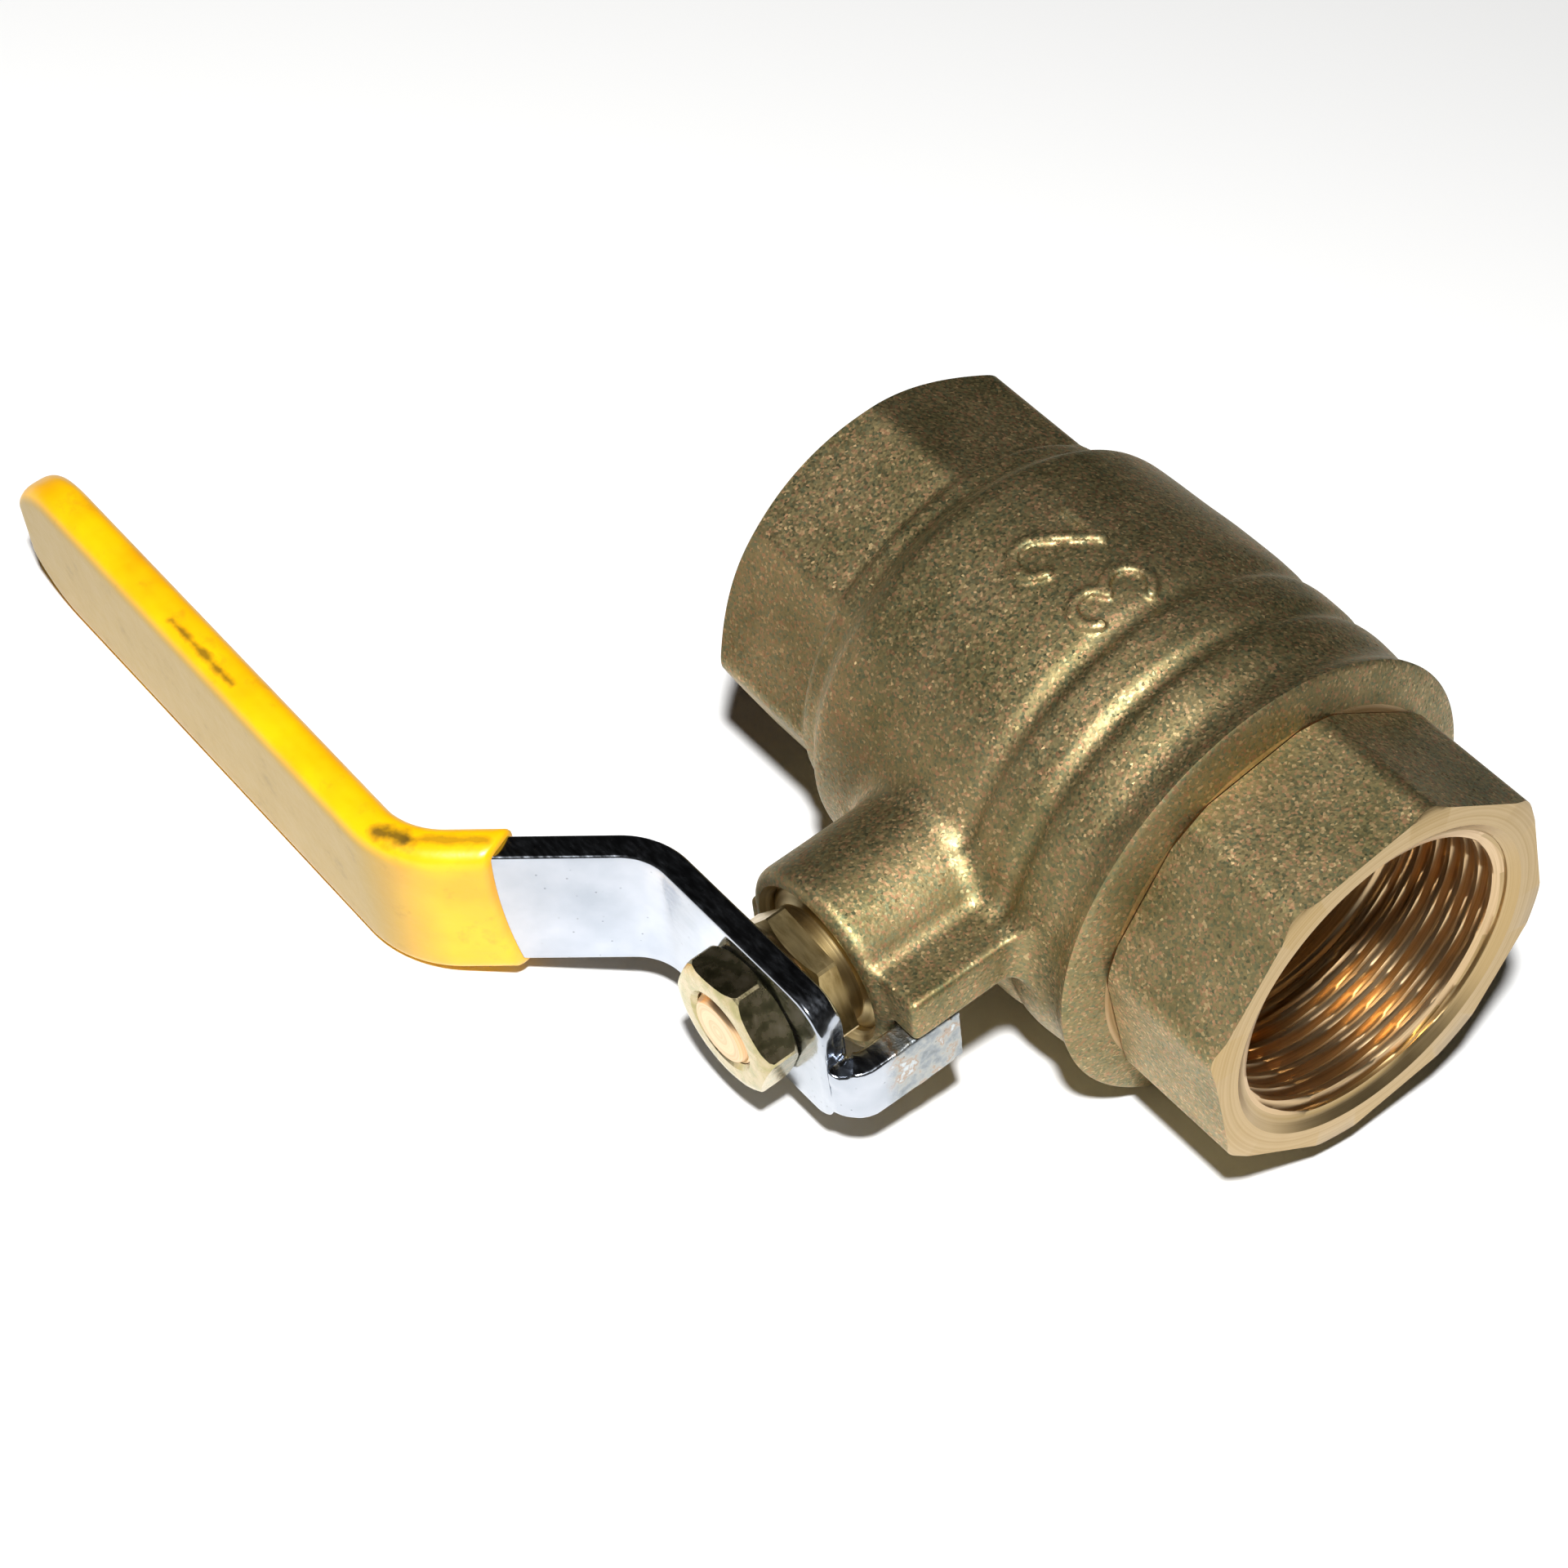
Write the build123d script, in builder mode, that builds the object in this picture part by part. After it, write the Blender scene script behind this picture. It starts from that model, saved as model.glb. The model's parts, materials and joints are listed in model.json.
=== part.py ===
from build123d import *
import os
from math import cos, radians, sin, sqrt

os.makedirs("parts", exist_ok=True)

# ---------------------------------------------------------------- frame
# The pipe axis is X and the centre of the ball is the origin.  The valve lies on
# its barrel with the lever down beside it, so the stem points out to -Y and dips.
STEM_DIP = 15.0                      # stem below the horizontal, degrees
PIPE_HALF = 46.1                     # ball centre to either threaded end

# ---------------------------------------------------------------- body and ends
OCT_AF = 50.0                        # across the flats of both octagons
OCT_TWIST = -15.5                    # end connector turned against the body's flats
OCT_BACK = 27.6                      # inner end of the end connector's octagon
PORT_R = 19.476                      # crest radius of the G 1 1/4 pipe thread
PORT_DEPTH = 19.5
MOUTH_R = 22.5                       # 45 degree countersink at each mouth
BARREL_R = 30.5
LIP_X, LIP_R = 25.9, 31.3            # sharp rim at the open end of the barrel
NECK_R = 24.6
FLOW_R = 15.5                        # full-bore passage
CAVITY_R = 24.5                      # ball chamber and end connector thread
POCKET_R = 20.5                      # seat ring pockets
POCKET_X = 19.2                      # back wall of each seat pocket
SHANK_X = 13.2                       # inner end of the end connector

# ---------------------------------------------------------------- ball and seats
BALL_R = 23.5
BALL_GAP = 0.06
SLOT_W, SLOT_FLOOR = 6.1, 18.3
SEAT_IN_R = 15.9
SEAT_FACE_X = 13.6                   # inner rim of each ring

# ---------------------------------------------------------------- boss, along the stem
BOSS_R, BOSS_TOP = 12.7, 47.2
BOSS_BORE_R = 10.0
STEM_BORE_R = 7.05
CHAMBER_T = 33.6                     # floor of the packing chamber
LUG_X, LUG_LOW, LUG_HIGH, LUG_TOP = 17.4, 1.05, 7.6, 46.2
STOP_LUG_X = 8.35                    # face of the closed-position stop lug

# ---------------------------------------------------------------- stem
STEM_R, STEM_NECK_R = 7.0, 6.0
FLANGE_R, FLANGE_T0, FLANGE_T1 = 8.4, 23.9, 26.2
STEM_SHOULDER = 52.8                 # the lever sits here
STUD_R, STUD_END = 4.95, 62.0
FLAT_HALF = 3.75                     # half the distance across the stem's two flats

# ---------------------------------------------------------------- lever
PLATE_T = 3.6
PLATE_W = 20.0
PLATE_MID = STEM_SHOULDER + PLATE_T / 2
GRIP_MID, GRIP_TIP_MID = 77.9, 76.8  # centre of the grip run of the strip, at the crank and at the tip
CRANK_X0, CRANK_X1 = -20.3, -40.9    # where the straight runs would meet
LEVER_END = -125.8
PLATE_END = 13.0
TAB_X, TAB_END = 17.0, 39.5          # outer face and tip of the stop tab
TAB_LOW, TAB_HIGH = -8.0, 0.75       # its two edges, either side of the stem
TAB_BEND = 5.0                       # outer bend radius
BEND_T = STEM_SHOULDER + PLATE_T - TAB_BEND
SLEEVE_T = 1.2
SLEEVE_START = 19.0                  # along the crank from its lower corner
SLEEVE_EDGE_R = 2.2                  # rounding of the grip's long edges
NUT_AF, NUT_T1 = 16.0, 61.7


def stem_plane(t, turn=0.0):
    """Plane across the stem at distance t from the pipe axis, +Z outwards."""
    dip = radians(STEM_DIP)
    out = Vector(0, -cos(dip), -sin(dip))
    side = Vector(0, -sin(dip), cos(dip))
    x_dir = Vector(1, 0, 0) * cos(radians(turn)) + side * sin(radians(turn))
    return Plane(origin=out * t, x_dir=x_dir, z_dir=out)


def profile_plane():
    """Plane through the pipe axis and the stem: x along the pipe, y out along the stem."""
    dip = radians(STEM_DIP)
    return Plane(origin=(0, 0, 0), x_dir=(1, 0, 0), z_dir=(0, sin(dip), -cos(dip)))


def pipe_plane(x, turn=0.0):
    """Plane across the pipe at x, its own x turned from the stem direction."""
    a = radians(STEM_DIP) + radians(turn)
    return Plane(origin=(x, 0, 0), x_dir=(0, -cos(a), -sin(a)), z_dir=(1, 0, 0))


def parallel(points, shift):
    """Polyline moved sideways by shift, with mitred corners."""
    pts = [Vector(*p) for p in points]
    runs = [(b - a).normalized() for a, b in zip(pts, pts[1:])]
    sides = [Vector(-r.Y, r.X) for r in runs]
    out = [pts[0] + sides[0] * shift]
    for p, n0, n1 in zip(pts[1:-1], sides, sides[1:]):
        mid = (n0 + n1).normalized()
        out.append(p + mid * (shift / mid.dot(n0)))
    out.append(pts[-1] + sides[-1] * shift)
    return [(v.X, v.Y) for v in out]


# ---------------------------------------------------------------- body
# Forged brass: far octagon, neck, barrel with two soft grooves, and the stem boss.
with BuildPart() as body:
    with BuildSketch(pipe_plane(-PIPE_HALF)):
        RegularPolygon(radius=OCT_AF / 2, side_count=8, major_radius=False)
    extrude(amount=PIPE_HALF - 28.4)
    # turned cones take off the corners at both ends of the octagon
    with BuildSketch(Plane.XY):
        with BuildLine():
            Polyline(
                (-PIPE_HALF, 0), (-PIPE_HALF, 25.7), (-PIPE_HALF + 1.5, 28.0), (-31.6, 28.0),
                (-28.4, NECK_R), (-28.4, 0), close=True,
            )
        make_face()
    revolve(axis=Axis.X, mode=Mode.INTERSECT)
    with BuildSketch(Plane.XY):
        with BuildLine():
            Polyline((-30.0, 0), (-30.0, NECK_R), (-28.0, NECK_R))
            Spline((-28.0, NECK_R), (-26.4, 26.3), (-22.8, 28.9), (-18.0, 30.2), (-13.0, BARREL_R),
                   tangents=((0.6, 0.8), (1, 0)))
            Line((-13.0, BARREL_R), (3.9, BARREL_R))
            Spline((3.9, BARREL_R), (5.6, 29.85), (7.3, 30.45), tangents=((1, 0), (1, 0)))
            Line((7.3, 30.45), (12.6, 30.45))
            Spline((12.6, 30.45), (14.3, 29.8), (16.0, 30.4), tangents=((1, 0), (1, 0)))
            Line((16.0, 30.4), (18.6, 30.4))
            Spline((18.6, 30.4), (22.0, 30.0), (LIP_X, LIP_R), tangents=((1, 0), (1, 0.7)))
            Polyline((LIP_X, LIP_R), (OCT_BACK - 0.1, 26.2), (OCT_BACK - 0.1, 0), (-30.0, 0))
        make_face()
    revolve(axis=Axis.X)
    # boss with its open-position lug and the closed-position stop lug
    with BuildSketch(stem_plane(18.0)):
        Circle(BOSS_R)
    extrude(amount=BOSS_TOP - 18.0)
    rim = body.edges().filter_by(lambda e: (e @ 0).Y < -40 and e.geom_type == GeomType.CIRCLE)
    fillet(rim, radius=1.4)
    with BuildSketch(stem_plane(18.0)):
        with BuildLine():
            Polyline((0, LUG_LOW), (LUG_X, LUG_LOW), (LUG_X, LUG_HIGH), (0, LUG_HIGH), close=True)
        make_face()
        with BuildLine():
            Polyline((-STOP_LUG_X, 0), (-STOP_LUG_X, -17.6), (-14.6, -17.6), (-14.6, -14.0),
                     (-9.6, 0), close=True)
        make_face()
    extrude(amount=LUG_TOP - 18.0)
    # bores, from the far mouth to the open end
    with BuildSketch(Plane.XY):
        with BuildLine():
            Polyline(
                (-PIPE_HALF, 0), (-PIPE_HALF, MOUTH_R), (-PIPE_HALF + MOUTH_R - PORT_R, PORT_R),
                (-PIPE_HALF + PORT_DEPTH, PORT_R), (-PIPE_HALF + PORT_DEPTH, FLOW_R),
                (-POCKET_X, FLOW_R), (-POCKET_X, POCKET_R), (-14.6, POCKET_R), (-11.0, CAVITY_R),
                (OCT_BACK - 0.1, CAVITY_R), (OCT_BACK - 0.1, 0), close=True,
            )
        make_face()
    revolve(axis=Axis.X, mode=Mode.SUBTRACT)
    # stem bore, flange recess and packing chamber
    with BuildSketch(stem_plane(16.0)):
        Circle(FLANGE_R + 0.2)
    extrude(amount=27.0 - 16.0, mode=Mode.SUBTRACT)
    with BuildSketch(stem_plane(16.0)):
        Circle(STEM_BORE_R)
    extrude(amount=BOSS_TOP - 16.0, mode=Mode.SUBTRACT)
    with BuildSketch(stem_plane(CHAMBER_T)):
        Circle(BOSS_BORE_R)
    extrude(amount=BOSS_TOP - CHAMBER_T, mode=Mode.SUBTRACT)
    with BuildSketch(stem_plane(BOSS_TOP)):
        Circle(BOSS_BORE_R + 0.9)
    extrude(amount=-0.9, taper=45, mode=Mode.SUBTRACT)
body.part.label = "body"

# ---------------------------------------------------------------- end connector
with BuildPart() as end_connector:
    with BuildSketch(pipe_plane(OCT_BACK, OCT_TWIST)):
        RegularPolygon(radius=OCT_AF / 2, side_count=8, major_radius=False)
    extrude(amount=PIPE_HALF - OCT_BACK)
    with BuildSketch(Plane.XY):
        with BuildLine():
            Polyline(
                (OCT_BACK, 0), (OCT_BACK, 25.9), (OCT_BACK + 1.1, 27.6), (PIPE_HALF - 1.2, 27.6),
                (PIPE_HALF, 25.6), (PIPE_HALF, 0), close=True,
            )
        make_face()
    revolve(axis=Axis.X, mode=Mode.INTERSECT)
    with BuildSketch(Plane.XY):
        with BuildLine():
            Polyline(
                (SHANK_X, 0), (SHANK_X, CAVITY_R - 0.75), (SHANK_X + 0.7, CAVITY_R - 0.05),
                (OCT_BACK, CAVITY_R - 0.05), (OCT_BACK, 0), close=True,
            )
        make_face()
    revolve(axis=Axis.X)
    with BuildSketch(Plane.XY):
        with BuildLine():
            Polyline(
                (SHANK_X, 0), (SHANK_X, POCKET_R), (POCKET_X, POCKET_R), (POCKET_X, FLOW_R),
                (PIPE_HALF - PORT_DEPTH, FLOW_R), (PIPE_HALF - PORT_DEPTH, PORT_R),
                (PIPE_HALF - MOUTH_R + PORT_R, PORT_R), (PIPE_HALF, MOUTH_R), (PIPE_HALF, 0),
                close=True,
            )
        make_face()
    revolve(axis=Axis.X, mode=Mode.SUBTRACT)
end_connector.part.label = "end_connector"

# ---------------------------------------------------------------- ball
with BuildPart() as ball:
    Sphere(BALL_R)
    with BuildSketch(Plane.YZ.offset(-BALL_R)):
        Circle(FLOW_R)
    extrude(amount=2 * BALL_R, mode=Mode.SUBTRACT)
    with BuildSketch(stem_plane(SLOT_FLOOR)):
        Rectangle(SLOT_W, 2 * BALL_R)
    extrude(amount=BALL_R, mode=Mode.SUBTRACT)
ball.part.label = "ball"

# ---------------------------------------------------------------- seat rings
# PTFE, each with a spherical face that follows the ball.
seats = {}
SEAT_R = BALL_R + BALL_GAP
for name, sense in (("seat_ring_far", -1), ("seat_ring_near", 1)):
    with BuildPart() as seat:
        with BuildSketch(Plane.XY):
            with BuildLine():
                rim = (sense * SEAT_FACE_X, sqrt(SEAT_R**2 - SEAT_FACE_X**2))
                throat = (sense * sqrt(SEAT_R**2 - SEAT_IN_R**2), SEAT_IN_R)
                ThreePointArc(rim, (sense * SEAT_R * cos(0.85), SEAT_R * sin(0.85)), throat)
                Polyline(throat, (sense * POCKET_X, SEAT_IN_R), (sense * POCKET_X, POCKET_R - 0.05),
                         (sense * SEAT_FACE_X, POCKET_R - 0.05), rim)
            make_face()
        revolve(axis=Axis.X)
    seat.part.label = name
    seats[name] = seat

# ---------------------------------------------------------------- stem and its seals
with BuildPart() as stem:
    with BuildSketch(profile_plane()):
        with BuildLine():
            Polyline(
                (0, FLANGE_T0), (FLANGE_R, FLANGE_T0), (FLANGE_R, FLANGE_T1), (STEM_R, FLANGE_T1),
                (STEM_R, 29.0), (5.45, 29.0), (5.45, 31.0), (STEM_R, 31.0), (STEM_R, CHAMBER_T - 0.1),
                (STEM_NECK_R, CHAMBER_T - 0.1), (STEM_NECK_R, STEM_SHOULDER), (STUD_R, STEM_SHOULDER),
                (STUD_R, STUD_END - 0.55), (STUD_R - 0.55, STUD_END), (0, STUD_END), close=True,
            )
        make_face()
    revolve(axis=Axis((0, 0, 0), stem_plane(0).z_dir))
    with BuildSketch(stem_plane(SLOT_FLOOR + 0.3)):
        Rectangle(SLOT_W - 0.2, 11.6)
    extrude(until=Until.NEXT)
    # two flats carry the lever
    with BuildSketch(stem_plane(STEM_SHOULDER)):
        with Locations((0, FLAT_HALF + 3), (0, -FLAT_HALF - 3)):
            Rectangle(14, 6)
    extrude(amount=PLATE_T + 0.5, mode=Mode.SUBTRACT)
stem.part.label = "stem"

with BuildPart() as stem_thrust_washer:
    with BuildSketch(stem_plane(FLANGE_T1 + 0.04)):
        Circle(FLANGE_R + 0.1)
        Circle(STEM_BORE_R, mode=Mode.SUBTRACT)
    extrude(amount=27.0 - FLANGE_T1 - 0.06)
stem_thrust_washer.part.label = "stem_thrust_washer"

with BuildPart() as stem_o_ring:
    with BuildSketch(profile_plane()):
        with Locations((6.24, 30.0)):
            Circle(0.78)
    revolve(axis=Axis((0, 0, 0), stem_plane(0).z_dir))
stem_o_ring.part.label = "stem_o_ring"

PACKING_T = 3.0
packing = {}
for name, start in (("packing_ring_lower", CHAMBER_T), ("packing_ring_upper", CHAMBER_T + PACKING_T)):
    with BuildPart() as ring:
        with BuildSketch(stem_plane(start)):
            Circle(BOSS_BORE_R - 0.05)
            Circle(STEM_NECK_R + 0.05, mode=Mode.SUBTRACT)
        extrude(amount=PACKING_T)
    ring.part.label = name
    packing[name] = ring

# ---------------------------------------------------------------- gland nut
GLAND_T0, GLAND_NECK, GLAND_HEX, GLAND_TOP = CHAMBER_T + 2 * PACKING_T, 45.6, 48.5, 51.8
GLAND_AF = 16.5
with BuildPart() as gland_nut:
    with BuildSketch(profile_plane()):
        with BuildLine():
            Polyline(
                (0, GLAND_T0), (BOSS_BORE_R - 0.7, GLAND_T0), (BOSS_BORE_R - 0.05, GLAND_T0 + 0.7),
                (BOSS_BORE_R - 0.05, GLAND_NECK), (8.0, GLAND_NECK + 1.0), (8.0, GLAND_HEX + 0.1),
                (0, GLAND_HEX + 0.1), close=True,
            )
        make_face()
    revolve(axis=Axis((0, 0, 0), stem_plane(0).z_dir))
    with BuildSketch(stem_plane(GLAND_HEX, 50.5)):
        RegularPolygon(radius=GLAND_AF / 2, side_count=6, major_radius=False)
    extrude(amount=GLAND_TOP - GLAND_HEX)
    with BuildSketch(profile_plane()):
        with BuildLine():
            Polyline(
                (0, GLAND_T0 - 1), (12, GLAND_T0 - 1), (12, GLAND_TOP - 1.9), (GLAND_AF / 2 + 0.1, GLAND_TOP),
                (0, GLAND_TOP), close=True,
            )
        make_face()
    revolve(axis=Axis((0, 0, 0), stem_plane(0).z_dir), mode=Mode.INTERSECT)
    with BuildSketch(stem_plane(GLAND_T0 - 1)):
        Circle(STEM_NECK_R + 0.05)
    extrude(amount=GLAND_TOP - GLAND_T0 + 2, mode=Mode.SUBTRACT)
gland_nut.part.label = "gland_nut"

# ---------------------------------------------------------------- lever
# One steel strip: flat at the stem, cranked outwards, then nearly parallel to the pipe.
RUN = [(PLATE_END, PLATE_MID), (CRANK_X0, PLATE_MID), (CRANK_X1, GRIP_MID), (LEVER_END, GRIP_TIP_MID)]
BEND_R = 9.5
TIP_R = PLATE_W / 2
with BuildPart() as lever:
    with BuildSketch(profile_plane()):
        with BuildLine():
            inner = FilletPolyline(*parallel(RUN, PLATE_T / 2), radius=BEND_R)
            outer = FilletPolyline(*parallel(RUN, -PLATE_T / 2), radius=BEND_R)
            Line(inner @ 0, outer @ 0)
            Line(inner @ 1, outer @ 1)
        make_face()
    extrude(amount=PLATE_W / 2, both=True)
    # rounded far end and eased near corners
    with BuildSketch(stem_plane(40.0)):
        with BuildLine():
            Polyline((LEVER_END + TIP_R, PLATE_W / 2), (PLATE_END - 2.0, PLATE_W / 2), (PLATE_END, PLATE_W / 2 - 2.0),
                     (PLATE_END, -PLATE_W / 2 + 1.6), (PLATE_END - 1.6, -PLATE_W / 2),
                     (LEVER_END + TIP_R, -PLATE_W / 2))
            ThreePointArc((LEVER_END + TIP_R, -PLATE_W / 2), (LEVER_END, 0), (LEVER_END + TIP_R, PLATE_W / 2))
        make_face()
    extrude(amount=50.0, mode=Mode.INTERSECT)
    # stop tab, bent back towards the body
    with BuildSketch(profile_plane().offset(-TAB_HIGH)):
        with BuildLine():
            Line((PLATE_END - 3.0, STEM_SHOULDER), (TAB_X - TAB_BEND, STEM_SHOULDER))
            RadiusArc((TAB_X - TAB_BEND, STEM_SHOULDER), (TAB_X - PLATE_T, BEND_T), TAB_BEND - PLATE_T)
            Polyline((TAB_X - PLATE_T, BEND_T), (TAB_X - PLATE_T, TAB_END), (TAB_X, TAB_END), (TAB_X, BEND_T))
            RadiusArc((TAB_X, BEND_T), (TAB_X - TAB_BEND, STEM_SHOULDER + PLATE_T), -TAB_BEND)
            Polyline((TAB_X - TAB_BEND, STEM_SHOULDER + PLATE_T), (PLATE_END - 3.0, STEM_SHOULDER + PLATE_T),
                     (PLATE_END - 3.0, STEM_SHOULDER))
        make_face()
    extrude(amount=TAB_HIGH - TAB_LOW)
    # double-D hole over the stem's flats
    with BuildSketch(stem_plane(STEM_SHOULDER - 0.01)):
        Circle(STUD_R + 0.06)
        Rectangle(20, 2 * FLAT_HALF + 0.12, mode=Mode.INTERSECT)
    extrude(amount=PLATE_T + 0.02, mode=Mode.SUBTRACT)
lever.part.label = "lever"

# ---------------------------------------------------------------- grip
# Vinyl sleeve dipped over the crank and the outer run.
crank = (Vector(CRANK_X1, GRIP_MID) - Vector(CRANK_X0, PLATE_MID)).normalized()
start = Vector(CRANK_X0, PLATE_MID) + crank * SLEEVE_START
HAND = [(start.X, start.Y), (CRANK_X1, GRIP_MID), (LEVER_END - SLEEVE_T, GRIP_TIP_MID)]
SKIN = PLATE_T / 2 + SLEEVE_T
HAND_W = PLATE_W + 2 * SLEEVE_T
with BuildPart() as lever_grip:
    with BuildSketch(profile_plane()):
        with BuildLine():
            inner = FilletPolyline(*parallel(HAND, SKIN), radius=BEND_R)
            outer = FilletPolyline(*parallel(HAND, -SKIN), radius=BEND_R + 1)
            Line(inner @ 0, outer @ 0)
            Line(inner @ 1, outer @ 1)
        make_face()
    extrude(amount=HAND_W / 2, both=True)
    with BuildSketch(stem_plane(40.0)):
        with BuildLine():
            Polyline((LEVER_END + TIP_R, HAND_W / 2), (0, HAND_W / 2), (0, -HAND_W / 2),
                     (LEVER_END + TIP_R, -HAND_W / 2))
            ThreePointArc((LEVER_END + TIP_R, -HAND_W / 2), (LEVER_END - SLEEVE_T, 0),
                          (LEVER_END + TIP_R, HAND_W / 2))
        make_face()
    extrude(amount=60.0, mode=Mode.INTERSECT)
    side_faces = lever_grip.faces().filter_by(Axis((0, 0, 0), profile_plane().z_dir))
    start_face = lever_grip.faces().sort_by(Axis.X)[-1]
    fillet(side_faces.edges() - start_face.edges(), radius=SLEEVE_EDGE_R)
    add(lever.part, mode=Mode.SUBTRACT)
lever_grip.part.label = "lever_grip"

# ---------------------------------------------------------------- lever nut
with BuildPart() as lever_nut:
    with BuildSketch(stem_plane(STEM_SHOULDER + PLATE_T, 8.7)):
        RegularPolygon(radius=NUT_AF / 2, side_count=6, major_radius=False)
    extrude(amount=NUT_T1 - STEM_SHOULDER - PLATE_T)
    with BuildSketch(profile_plane()):
        with BuildLine():
            t0, t1 = STEM_SHOULDER + PLATE_T, NUT_T1
            Polyline((0, t0), (NUT_AF / 2 - 0.3, t0), (NUT_AF / 2 + 1.4, t0 + 0.95),
                     (NUT_AF / 2 + 1.4, t1 - 0.95), (NUT_AF / 2 - 0.3, t1), (0, t1), close=True)
        make_face()
    revolve(axis=Axis((0, 0, 0), stem_plane(0).z_dir), mode=Mode.INTERSECT)
    with BuildSketch(stem_plane(STEM_SHOULDER)):
        Circle(STUD_R + 0.05)
    extrude(amount=12.0, mode=Mode.SUBTRACT)
    with BuildSketch(stem_plane(NUT_T1)):
        Circle(STUD_R + 0.6)
    extrude(amount=-0.55, taper=45, mode=Mode.SUBTRACT)
lever_nut.part.label = "lever_nut"

# ---------------------------------------------------------------- export
export_step(body.part, "parts/body.step")
export_step(end_connector.part, "parts/end_connector.step")
export_step(ball.part, "parts/ball.step")
for name, seat in seats.items():
    export_step(seat.part, f"parts/{name}.step")
export_step(stem.part, "parts/stem.step")
export_step(stem_thrust_washer.part, "parts/stem_thrust_washer.step")
export_step(stem_o_ring.part, "parts/stem_o_ring.step")
for name, ring in packing.items():
    export_step(ring.part, f"parts/{name}.step")
export_step(gland_nut.part, "parts/gland_nut.step")
export_step(lever.part, "parts/lever.step")
export_step(lever_grip.part, "parts/lever_grip.step")
export_step(lever_nut.part, "parts/lever_nut.step")
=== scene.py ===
"""Looks of the lever ball valve for gas: its forged, turned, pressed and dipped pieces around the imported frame."""
import json
import logging
import math
from dataclasses import dataclass
from enum import Enum
from typing import Callable, Optional, Sequence

import bmesh
import bpy
import numpy as np
from mathutils import Matrix, Vector, noise


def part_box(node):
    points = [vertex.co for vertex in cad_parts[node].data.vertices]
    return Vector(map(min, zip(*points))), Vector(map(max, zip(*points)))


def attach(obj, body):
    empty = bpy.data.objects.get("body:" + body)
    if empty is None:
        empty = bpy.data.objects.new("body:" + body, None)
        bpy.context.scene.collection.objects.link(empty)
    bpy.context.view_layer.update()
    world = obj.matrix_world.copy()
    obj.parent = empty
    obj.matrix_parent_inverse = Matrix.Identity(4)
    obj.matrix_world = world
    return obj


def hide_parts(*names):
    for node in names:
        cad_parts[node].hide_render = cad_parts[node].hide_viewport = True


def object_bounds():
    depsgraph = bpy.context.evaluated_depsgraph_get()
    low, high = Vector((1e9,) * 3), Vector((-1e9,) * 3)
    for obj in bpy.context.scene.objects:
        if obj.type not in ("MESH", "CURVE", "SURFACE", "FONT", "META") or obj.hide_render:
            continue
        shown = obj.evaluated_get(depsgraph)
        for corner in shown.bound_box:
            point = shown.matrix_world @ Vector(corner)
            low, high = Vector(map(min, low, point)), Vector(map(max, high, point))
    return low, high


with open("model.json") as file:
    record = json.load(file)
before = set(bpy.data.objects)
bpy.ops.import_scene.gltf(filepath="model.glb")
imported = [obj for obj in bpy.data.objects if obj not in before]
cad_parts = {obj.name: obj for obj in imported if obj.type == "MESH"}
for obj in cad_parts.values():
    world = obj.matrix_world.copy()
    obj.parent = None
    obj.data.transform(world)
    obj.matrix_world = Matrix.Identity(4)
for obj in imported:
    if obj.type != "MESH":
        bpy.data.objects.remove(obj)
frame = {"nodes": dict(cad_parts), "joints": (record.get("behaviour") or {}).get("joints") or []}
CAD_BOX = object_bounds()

LOG = logging.getLogger("gas_valve")
Array = np.ndarray
MM = 0.001
SEGMENTS = 192                       # facets round every turned form
# The hinge axis points from the stem's outer end to the ball, so it gives the dip of the stem.
DIP = math.atan2(frame["joints"][0]["axis"][2], frame["joints"][0]["axis"][1])
PIPE_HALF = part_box("end_connector")[1].x / MM
LIP_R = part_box("body")[1].z / MM


class Spin(Enum):
    """The valve's two axes that forms are turned about."""

    PIPE = "pipe"
    STEM = "stem"


class Cut(Enum):
    """How a tool solid changes a piece."""

    KEEP_INSIDE = "INTERSECT"
    TAKE_AWAY = "DIFFERENCE"


# ---------------------------------------------------------------- points and meshes
def to_row(points: Array) -> Array:
    """Turns points from the valve's own axes to the frame's.

    Args:
        points: Positions in mm, X along the pipe, the stem towards -Y, one row each.

    Returns:
        The same positions in metres, with the stem dipped.
    """
    x, y, z = points.T
    c, s = math.cos(DIP), math.sin(DIP)
    return np.column_stack((x, y * c - z * s, y * s + z * c)) * MM


def new_piece(name: str, points: Array, faces: Sequence, finishes: Sequence[bpy.types.Material],
              slot: int = 0) -> bpy.types.Object:
    """Makes an object from points in the valve's axes.

    Args:
        name: The piece's name.
        points: Positions in mm in the valve's axes.
        faces: Corner indices of each face.
        finishes: The materials of its slots.
        slot: The slot of every face.

    Returns:
        The linked object, its faces turned outwards.
    """
    mesh = bpy.data.meshes.new(name)
    mesh.from_pydata(to_row(points).tolist(), [], [tuple(f) for f in faces])
    for finish in finishes:
        mesh.materials.append(finish)
    shape = bmesh.new()
    shape.from_mesh(mesh)
    if shape.calc_volume(signed=True) < 0:
        bmesh.ops.reverse_faces(shape, faces=shape.faces)
    for face in shape.faces:
        face.material_index = slot
        face.smooth = True
    shape.to_mesh(mesh)
    shape.free()
    piece = bpy.data.objects.new(name, mesh)
    bpy.context.scene.collection.objects.link(piece)
    return piece


def machine(piece: bpy.types.Object, tool: bpy.types.Object, cut: Cut) -> None:
    """Cuts a piece with a tool solid and removes the tool; new faces keep the tool's material slot.

    Args:
        piece: The closed mesh to change.
        tool: The closed mesh that cuts it.
        cut: Whether the tool is kept or taken away.
    """
    step = piece.modifiers.new("cut", "BOOLEAN")
    step.operation = cut.value
    step.solver = "MANIFOLD"
    step.object = tool
    bake_modifiers(piece)
    bpy.data.objects.remove(tool)


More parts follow.
